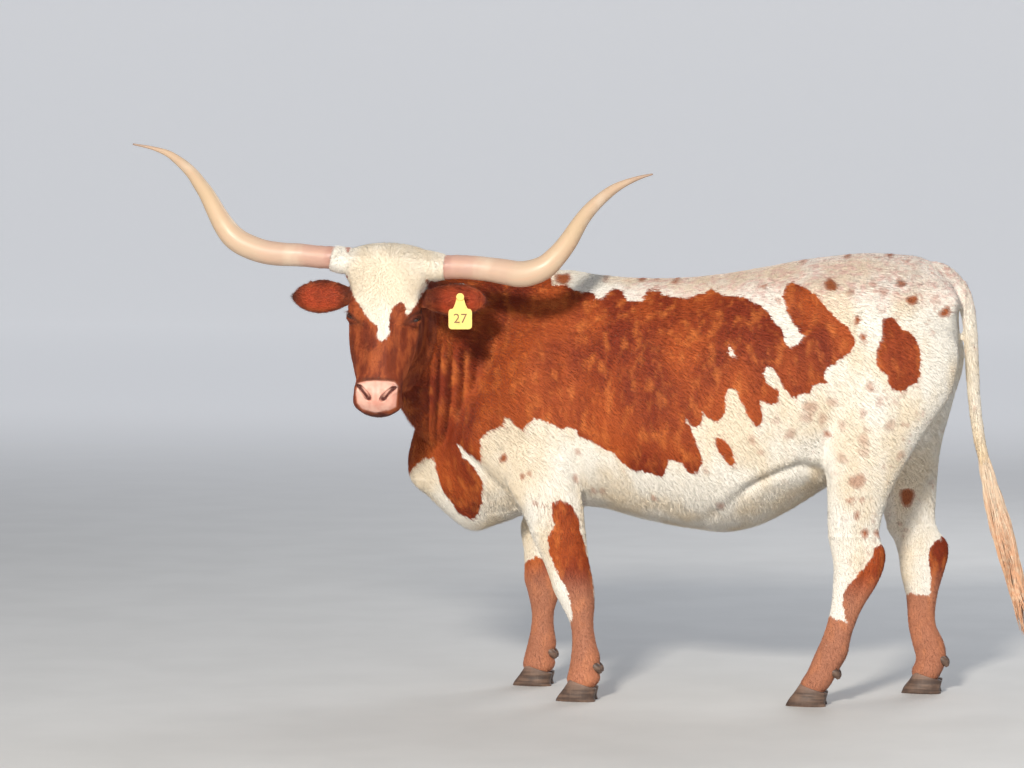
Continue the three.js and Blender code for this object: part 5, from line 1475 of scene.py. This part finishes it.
chalk = ramp(tree, cloudy, 0.52, 0.68, 0.0, 0.45)
horn_colour = blend_colour(tree, chalk, horn_colour, (0.73, 0.61, 0.47))
tree.links.new(horn_colour, surface.inputs["Base Color"])
tree.links.new(ramp(tree, grain, 0.3, 0.7, 0.34, 0.5), surface.inputs["Roughness"])
surface.inputs["Specular IOR Level"].default_value = 0.45
scratches = noise(tree, stretched(tree, horn_place, (40, 420, 420)), 1.0, 3.0, 0.6)
bumps = add(tree, "ShaderNodeBump", 0.18, 0.002, None, scratches)
tree.links.new(bumps.outputs[0], surface.inputs["Normal"])
for name, sign in (("left", 1), ("right", -1)):
    rows = between([(i, *stop) for i, stop in enumerate(horn_stops[name])], horn_steps)
    places = in_head(rows[:, 1:4] * (sign, 1, 1))
    ahead = unit(np.gradient(places, axis=0))
    run = np.concatenate([[0], np.cumsum(np.linalg.norm(np.diff(places, axis=0), axis=1))])
    share = run / run[-1]
    rings = []
    for spot, way, r, s in zip(places, ahead, rows[:, 4], share):
        side = unit(face_out - way * (face_out @ way))
        # Growth rings stand out at the root and fade along the horn.
        rings_of_growth = 0.9 * math.sin(s * 190) * max(0, 1 - s / 0.2)
        slow_waves = 0.35 * math.sin(s * 71 + 1) * max(0, 1 - s / 0.5)
        r = r + (rings_of_growth + slow_waves)
        rings.append(oval(spot, side, np.cross(side, way), r, r, r, sides=horn_sides))
    piece = closed("horn_" + name + "_sheath", rings)
    shade_smooth(piece.data)
    keep_values(piece.data, {"along": np.append(np.repeat(share, horn_sides), (0, 1))})
    angle = np.tile((np.arange(horn_sides) + 0.5) / horn_sides * 2 * np.pi, len(share))
    long = np.repeat(run, horn_sides) / 1000
    laid = np.stack([long, 0.035 * np.cos(angle), 0.035 * np.sin(angle)], 1)
    laid = np.concatenate([laid, [[0, 0, 0], [run[-1] / 1000, 0, 0]]])
    keep_vectors(piece.data, "laid_out", laid)
    piece.data.materials.append(horn)
    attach(piece, "root")
    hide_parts("horn_" + name)

# Eyes: dark wet balls with a brown iris, a long level pupil and a clear bulge over them, set under
# the lids. The whites show only at the corners.
eye_finish, tree, surface = new_finish("eye_finish")
eye_map = add(tree, "ShaderNodeAttribute", attribute_name="on_eye").outputs["Vector"]
across_eye, up_eye, _ = add(tree, "ShaderNodeSeparateXYZ", eye_map).outputs
iris_far = add(tree, "ShaderNodeVectorMath", eye_map, operation="LENGTH").outputs["Value"]
pupil_map = add(tree, "ShaderNodeVectorMath", eye_map, (2.6, 5.0, 0), operation="MULTIPLY").outputs[0]
pupil_far = add(tree, "ShaderNodeVectorMath", pupil_map, operation="LENGTH").outputs["Value"]
pupil = ramp(tree, pupil_far, 1.15, 0.9)
fibres = noise(tree, stretched(tree, eye_map, (30, 30, 30)), 1.0, 3.0)
iris_streaks, veins = ramp(tree, fibres, 0.35, 0.65), ramp(tree, fibres, 0.4, 0.65)
iris_colour = blend_colour(tree, iris_streaks, (0.016, 0.007, 0.004), (0.050, 0.020, 0.009))
white_of_eye = blend_colour(tree, veins, (0.13, 0.08, 0.058), (0.075, 0.04, 0.028))
eye_colour = blend_colour(tree, ramp(tree, iris_far, 0.66, 0.76), iris_colour, white_of_eye)
eye_colour = blend_colour(tree, pupil, eye_colour, (0.003, 0.003, 0.004))
tree.links.new(eye_colour, surface.inputs["Base Color"])
surface.inputs["Roughness"].default_value = 0.12
surface.inputs["Coat Weight"].default_value = 1.0
surface.inputs["Coat Roughness"].default_value = 0.03
for name, sign in (("eye_left", 1), ("eye_right", -1)):
    piece = ball(name + "_ball", in_head(eye_at * (sign, 1, 1)), eye_radius, 64)
    spots = from_head(away(points_of(piece.data))) * (sign, 1, 1) - eye_at
    level = np.array([0.0, 1.0, 0.0]) - gaze * gaze[1]
    level /= np.linalg.norm(level)
    in_front = spots @ gaze > 0
    behind = np.where(in_front, 0, 3 * eye_radius)
    flat_map = np.stack([spots @ np.cross(level, gaze), spots @ level, behind], 1)
    flat_map /= eye_radius
    bulge = 1 + 0.06 * step(0.66, 0.2, np.hypot(flat_map[:, 0], flat_map[:, 1])) * in_front
    put_back(piece.data, home(in_head((spots * bulge[:, None] + eye_at) * (sign, 1, 1))))
    shade_smooth(piece.data)
    keep_vectors(piece.data, "on_eye", flat_map)
    piece.data.materials.append(eye_finish)
    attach(piece, "root")
    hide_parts(name)

# Hooves: each foot stands on two claws of dark horn, ringed by growth and paler at the coronet, with
# two small dewclaws behind the pastern.
hoof_long, hoof_half, hoof_cleft = 122.0, 25.5, 5.0
claw_stations = [
    (0, 0, 0, 0.94), (3, 1, 0, 0.985), (8, 3, -2, 1), (34, 22, 2, 0.97), (58, 38, 5, 0.935),
    (84, 56, 8, 0.89),
]
coronet = [(44, 66), (hoof_long, 40)]
hoof, tree, surface = new_finish("hoof_finish")
spot = add(tree, "ShaderNodeTexCoord").outputs["Object"]
rings_grown = noise(tree, stretched(tree, spot, (9, 9, 120)), 1.0, 3.0)
hoof_grain = noise(tree, stretched(tree, spot, (130, 130, 12)), 1.0, 3.0)
height = add(tree, "ShaderNodeSeparateXYZ", spot).outputs[2]
ringed, streaked = ramp(tree, rings_grown, 0.35, 0.65), ramp(tree, hoof_grain, 0.45, 0.75, 0, 0.22)
hoof_colour = blend_colour(tree, ringed, (0.075, 0.043, 0.030), (0.19, 0.115, 0.078))
hoof_colour = blend_colour(tree, streaked, hoof_colour, (0.24, 0.155, 0.11))
hoof_clouds = noise(tree, stretched(tree, spot, (28, 28, 45)), 1.0, 3.0)
stained = ramp(tree, hoof_clouds, 0.42, 0.68, 0, 0.6)
hoof_colour = blend_colour(tree, stained, hoof_colour, (0.055, 0.034, 0.026))
coronet_band = ramp(tree, height, 0.035, 0.066, 0, 0.55)
coronet_band = sum_of(tree, coronet_band, ramp(tree, height, 0.09, 0.075), "MULTIPLY")
hoof_colour = blend_colour(tree, coronet_band, hoof_colour, (0.34, 0.21, 0.155))
tree.links.new(hoof_colour, surface.inputs["Base Color"])
surface.inputs["Roughness"].default_value = 0.48
hoof_relief = sum_of(tree, rings_grown, 0.7, "MULTIPLY")
hoof_relief = sum_of(tree, hoof_relief, sum_of(tree, hoof_grain, 0.3, "MULTIPLY"))
bumps = add(tree, "ShaderNodeBump", 0.5, 0.003, None, hoof_relief)
tree.links.new(bumps.outputs[0], surface.inputs["Normal"])


def finished_hoof(piece, node):
    shade_smooth(piece.data)
    piece.data.materials.append(hoof)
    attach(piece, "root")
    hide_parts(node)


feet = {
    "foreleg_left": (-388, -166), "foreleg_right": (-570, 166),
    "hindleg_left": (314, -170), "hindleg_right": (645, 170),
}
for name, (toe, foot_y) in feet.items():
    outward = math.copysign(1, foot_y)
    for claw, side in (("outer", outward), ("inner", -outward)):
        rings = []
        for h, back, heel, share in between(claw_stations, 8):
            front, rear = toe + back, toe + hoof_long + heel
            at = (front + (rear - front) * 0.6, foot_y + side * (hoof_half + hoof_cleft / 2), h)
            half, ahead, behind = hoof_half * share, at[0] - front, rear - at[0]
            rings.append(oval(at, (0, 1, 0), (-1, 0, 0), half, ahead, behind, 1.8, 2.5, sides=56))
        node = name + "_claw_" + claw
        piece = closed(node + "_horn", rings)
        (x0, z0), (x1, z1) = coronet
        work = bmesh.new()
        work.from_mesh(piece.data)
        slope = (-(z1 - z0), 0, x1 - x0)
        whole = work.verts[:] + work.edges[:] + work.faces[:]
        through = home((toe + x0, 0, z0))
        bmesh.ops.bisect_plane(work, geom=whole, plane_co=through, plane_no=slope, clear_outer=True)
        bmesh.ops.holes_fill(work, edges=[e for e in work.edges if e.is_boundary])
        bmesh.ops.recalc_face_normals(work, faces=work.faces)
        work.to_mesh(piece.data)
        work.free()
        finished_hoof(piece, node)
        node = name + "_dewclaw_" + claw
        low, high = (away(corner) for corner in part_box(node))
        middle, top, reach = (low + high)[1] / 2, high[2], low[0]
        stops = [
            (reach + 3, middle, top - 13, 9), (reach + 9, middle, top - 13, 12),
            (reach + 18, middle, top - 18, 12.5), (reach + 25, middle, top - 27, 10.5),
            (reach + 29, middle, top - 36, 5),
        ]
        finished_hoof(tube(node + "_horn", stops, 28, 6, (0, 1, 0), 0.92), node)

# The switch: locks of long coarse hair round the end of the tail, cream at the root and rusty
# towards the ends. Each lock is a bundle of tapering strands that gather to a point.
switch_stops = [
    (900, -47, 740, 13), (917, -53, 675, 19), (936, -59, 610, 22), (956, -65, 540, 21),
    (975, -70, 470, 18), (991, -74, 400, 12), (1003, -77, 335, 5),
]
locks_from = [(886, -41, 800, 14)] + switch_stops
fall = unit(np.array([0.25, -0.085, -1.0]))
draw = np.random.default_rng(7)
strand_steps, locks, strands_each = 9, 84, 13
t = np.linspace(0, 1, strand_steps)
corner_turn = np.array([0, 2, 4]) * np.pi / 3
switch_points, switch_faces, switch_along, switch_chance = [], [], [], []
for lock in range(locks):
    level = 5.1 * ((lock + 0.5) / locks) ** 0.8 - 0.8
    levels = np.arange(-1, len(switch_stops))
    x0, y0, z0, r0 = (np.interp(level, levels, column) for column in zip(*locks_from))
    angle = lock * 2.39996 + draw.uniform(-0.3, 0.3)
    out = np.array([math.cos(angle), math.sin(angle), 0])
    across = unit(np.cross(fall, out))
    long = (225 + 20 * math.sin(lock)) * draw.uniform(0.85, 1.1)
    bend, wave = draw.uniform(-16, 16), draw.uniform(2, 5)
    for _ in range(strands_each):
        u, w = draw.uniform(-1, 1), draw.uniform(-1, 1)
        start = np.array([x0, y0, z0]) + out * r0 * 0.4 + across * u * 8 + fall * draw.uniform(-16, 16)
        gathered = 1 - 0.8 * t**1.5
        path = start + fall * (long * draw.uniform(0.82, 1.06) * t)[:, None]
        full = r0 * 0.6 + 8 + 9 * math.exp(-((level - 1.1) / 1.3) ** 2)
        path += out * (full * np.sin(np.minimum(2.4 * t, 1.4)) - 10 * t * t + 4 * w * gathered)[:, None]
        sideways = bend * t * t + u * 6 * (gathered - 1) + wave * np.sin(9 * t + lock) * t
        path += across * sideways[:, None]
        thick = 1.25 * np.sqrt(np.maximum(1 - t**3, 0.02)) * draw.uniform(0.8, 1.2)
        base = len(switch_points) * 3 * strand_steps
        ring = path[:, None] + thick[:, None, None] * (
            np.cos(corner_turn)[None, :, None] * out + 1.5 * np.sin(corner_turn)[None, :, None] * across
        )
        switch_points.append(ring.reshape(-1, 3))
        switch_along.append(np.repeat(np.clip(level / 6 + t * long / 420, -0.1, 1), 3))
        switch_chance.append(np.full(3 * strand_steps, draw.uniform()))
        for i in range(base, base + 3 * (strand_steps - 1), 3):
            for j, k in ((0, 1), (1, 2), (2, 0)):
                switch_faces.append((i + j, i + k, i + 3 + k, i + 3 + j))
        last = base + 3 * (strand_steps - 1)
        switch_faces += [(base + 2, base + 1, base), (last, last + 1, last + 2)]
mesh = bpy.data.meshes.new("tail_switch_hair")
mesh.from_pydata(home(np.concatenate(switch_points)).tolist(), [], switch_faces)
work = bmesh.new()
work.from_mesh(mesh)
bmesh.ops.recalc_face_normals(work, faces=work.faces)
work.to_mesh(mesh)
work.free()
shade_smooth(mesh)
switch_values = {"along": np.concatenate(switch_along), "chance": np.concatenate(switch_chance)}
keep_values(mesh, switch_values)
switch_finish, tree, surface = new_finish("switch_finish")
spot = add(tree, "ShaderNodeTexCoord").outputs["Object"]
each_strand = ramp(tree, value_of(tree, "chance"), 0.0, 1.0, -0.16, 0.16)
rusty = sum_of(tree, value_of(tree, "along"), each_strand)
switch_colour = blend_colour(tree, ramp(tree, rusty, 0.12, 0.8), (0.80, 0.62, 0.45), (0.74, 0.40, 0.22))
bleached = ramp(tree, noise(tree, spot, 60), 0.4, 0.7, 0, 0.4)
switch_colour = blend_colour(tree, bleached, switch_colour, (0.92, 0.80, 0.62))
tree.links.new(switch_colour, surface.inputs["Base Color"])
surface.inputs["Roughness"].default_value = 0.5
surface.inputs["Sheen Weight"].default_value = 0.15
switch_hair = bpy.data.objects.new("tail_switch_hair", mesh)
scene.collection.objects.link(switch_hair)
mesh.materials.append(switch_finish)
switch_core = tube("tail_switch_core", switch_stops, 24, 5)
shade_smooth(switch_core.data)
switch_core.data.materials.append(switch_finish)
for piece in (switch_hair, switch_core):
    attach(piece, "root")
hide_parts("tail_switch")

# The ear tag: a moulded yellow plate on a stud, as the CAD has them, with a plain printed number.
tag_finish, tree, surface = new_finish("tag_finish")
spot = add(tree, "ShaderNodeTexCoord").outputs["Object"]
grime = noise(tree, spot, 45, 4.0)
soiled = ramp(tree, grime, 0.48, 0.75, 0.0, 0.7)
tag_colour = blend_colour(tree, soiled, (0.93, 0.66, 0.16), (0.72, 0.45, 0.13))
tree.links.new(tag_colour, surface.inputs["Base Color"])
tree.links.new(ramp(tree, grime, 0.4, 0.7, 0.36, 0.6), surface.inputs["Roughness"])
bumps = add(tree, "ShaderNodeBump", 0.25, 0.0015, None, noise(tree, spot, 260))
tree.links.new(bumps.outputs[0], surface.inputs["Normal"])
for name in ("ear_tag", "ear_tag_stud"):
    slots = nodes[name].data.materials
    if len(slots):
        slots[0] = tag_finish
    else:
        slots.append(tag_finish)
ink, tree, surface = new_finish("tag_ink")
spot = add(tree, "ShaderNodeTexCoord").outputs["Object"]
worn = ramp(tree, noise(tree, spot, 320), 0.42, 0.7)
ink_colour = blend_colour(tree, worn, (0.13, 0.055, 0.02), (0.36, 0.19, 0.06))
tree.links.new(ink_colour, surface.inputs["Base Color"])
surface.inputs["Roughness"].default_value = 0.55
# The plate's middle, from the tag's measures in part.mjs.
root, ahead, facing, _, length = ears["left"]
tag_hole_share, tag_cup, tag_stand_off = 0.6, 31.5, 47.0
tag_neck, tag_tall, tag_thick = 36.0, 64.0, 3.0
hangs = unit(np.array([0, 0, -1.0]) + facing * facing[2])
plate_across = np.cross(hangs, facing)
plate_at = root + ahead * tag_hole_share * length + facing * (tag_stand_off - tag_cup + tag_thick)
number = bpy.data.curves.new("tag_number", "FONT")
number.body = "27"
number.size = 42
number.align_x, number.align_y = "CENTER", "CENTER"
number.extrude = 0.35
number.resolution_u = 4
drawn = bpy.data.objects.new("tag_number_drawn", number)
scene.collection.objects.link(drawn)
bpy.context.view_layer.update()
graph = bpy.context.evaluated_depsgraph_get()
mesh = bpy.data.meshes.new_from_object(drawn.evaluated_get(graph))
bpy.data.objects.remove(drawn)
spots = points_of(mesh)
middle = plate_at + hangs * (tag_neck + tag_tall / 2)
spots = middle - spots[:, :1] * plate_across - spots[:, 1:2] * hangs + (spots[:, 2:] + 0.1) * facing
put_back(mesh, home(spots))
piece = bpy.data.objects.new("tag_number", mesh)
scene.collection.objects.link(piece)
mesh.materials.clear()
mesh.materials.append(ink)
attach(piece, "root")

# Skin rides on the one body there is and stands for every node of flesh.
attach(skin, "root")
flesh_nodes = ["torso", "neck", "head", "ear_left", "ear_right", "udder", "tail"]
for leg_name in feet:
    flesh_nodes += [leg_name + "_upper", leg_name + "_lower"]
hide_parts(*flesh_nodes)

# The studio: a plain pale floor that curves up far behind, a large soft key light from the upper
# left in front, as the sun stands in the photograph, and weaker fills.
floor_finish, tree, surface = new_finish("floor_finish")
spot = add(tree, "ShaderNodeTexCoord").outputs["Object"]
clouds = ramp(tree, noise(tree, spot, 3, 4.0), 0.3, 0.7)
floor_colour = blend_colour(tree, clouds, (0.60, 0.595, 0.58), (0.63, 0.625, 0.61))
# Painted light: towards the far wall the floor is painted paler and made to glow faintly.
far_painted_light = ramp(tree, add(tree, "ShaderNodeSeparateXYZ", spot).outputs[1], 3.0, 14.0)
floor_colour = blend_colour(tree, far_painted_light, floor_colour, (0.90, 0.895, 0.88))
tree.links.new(floor_colour, surface.inputs["Base Color"])
surface.inputs["Roughness"].default_value = 0.75
surface.inputs["Emission Color"].default_value = (0.97, 0.97, 1.0, 1)
tree.links.new(sum_of(tree, far_painted_light, 0.24, "MULTIPLY"), surface.inputs["Emission Strength"])
floor_half, wall_at, wall_tall, curve = 34.0, 32.0, 18.0, 6.0
profile = [(-floor_half, 0.0), (wall_at - curve, 0.0)]
for t in np.linspace(0.1, math.pi / 2, 15):
    profile.append((wall_at - curve + curve * math.sin(t), curve - curve * math.cos(t)))
profile.append((wall_at, wall_tall))
mesh = bpy.data.meshes.new("floor")
rows = [(x, y, z) for y, z in profile for x in (-floor_half, floor_half)]
mesh.from_pydata(rows, [], [(2 * i, 2 * i + 1, 2 * i + 3, 2 * i + 2) for i in range(len(profile) - 1)])
shade_smooth(mesh)
mesh.materials.append(floor_finish)
floor = bpy.data.objects.new("floor", mesh)
scene.collection.objects.link(floor)


def soft_light(name, at, towards, size, power, colour):
    data = bpy.data.lights.new(name, "AREA")
    data.shape = "SQUARE"
    data.size = size
    data.energy = power
    data.color = colour
    lamp = bpy.data.objects.new(name, data)
    scene.collection.objects.link(lamp)
    lamp.location = at
    lamp.rotation_euler = (Vector(towards) - Vector(at)).to_track_quat("-Z", "Y").to_euler()


soft_light("key", (-0.9, -11.0, 5.5), (0.1, 0, 0.8), 1.3, 1520, (1.0, 0.94, 0.85))
soft_light("fill", (5.5, -6.0, 2.6), (0.3, 0, 0.7), 4.5, 50, (0.88, 0.93, 1.0))
soft_light("back", (2.5, 5.0, 4.5), (0, 0, 1.0), 3.0, 150, (0.95, 0.97, 1.0))
world = bpy.data.worlds.new("studio")
scene.world = world
world.use_nodes = True
world.node_tree.nodes["Background"].inputs[0].default_value = (0.80, 0.87, 1.0, 1)
world.node_tree.nodes["Background"].inputs[1].default_value = 0.34
scene.view_settings.view_transform = "Standard"
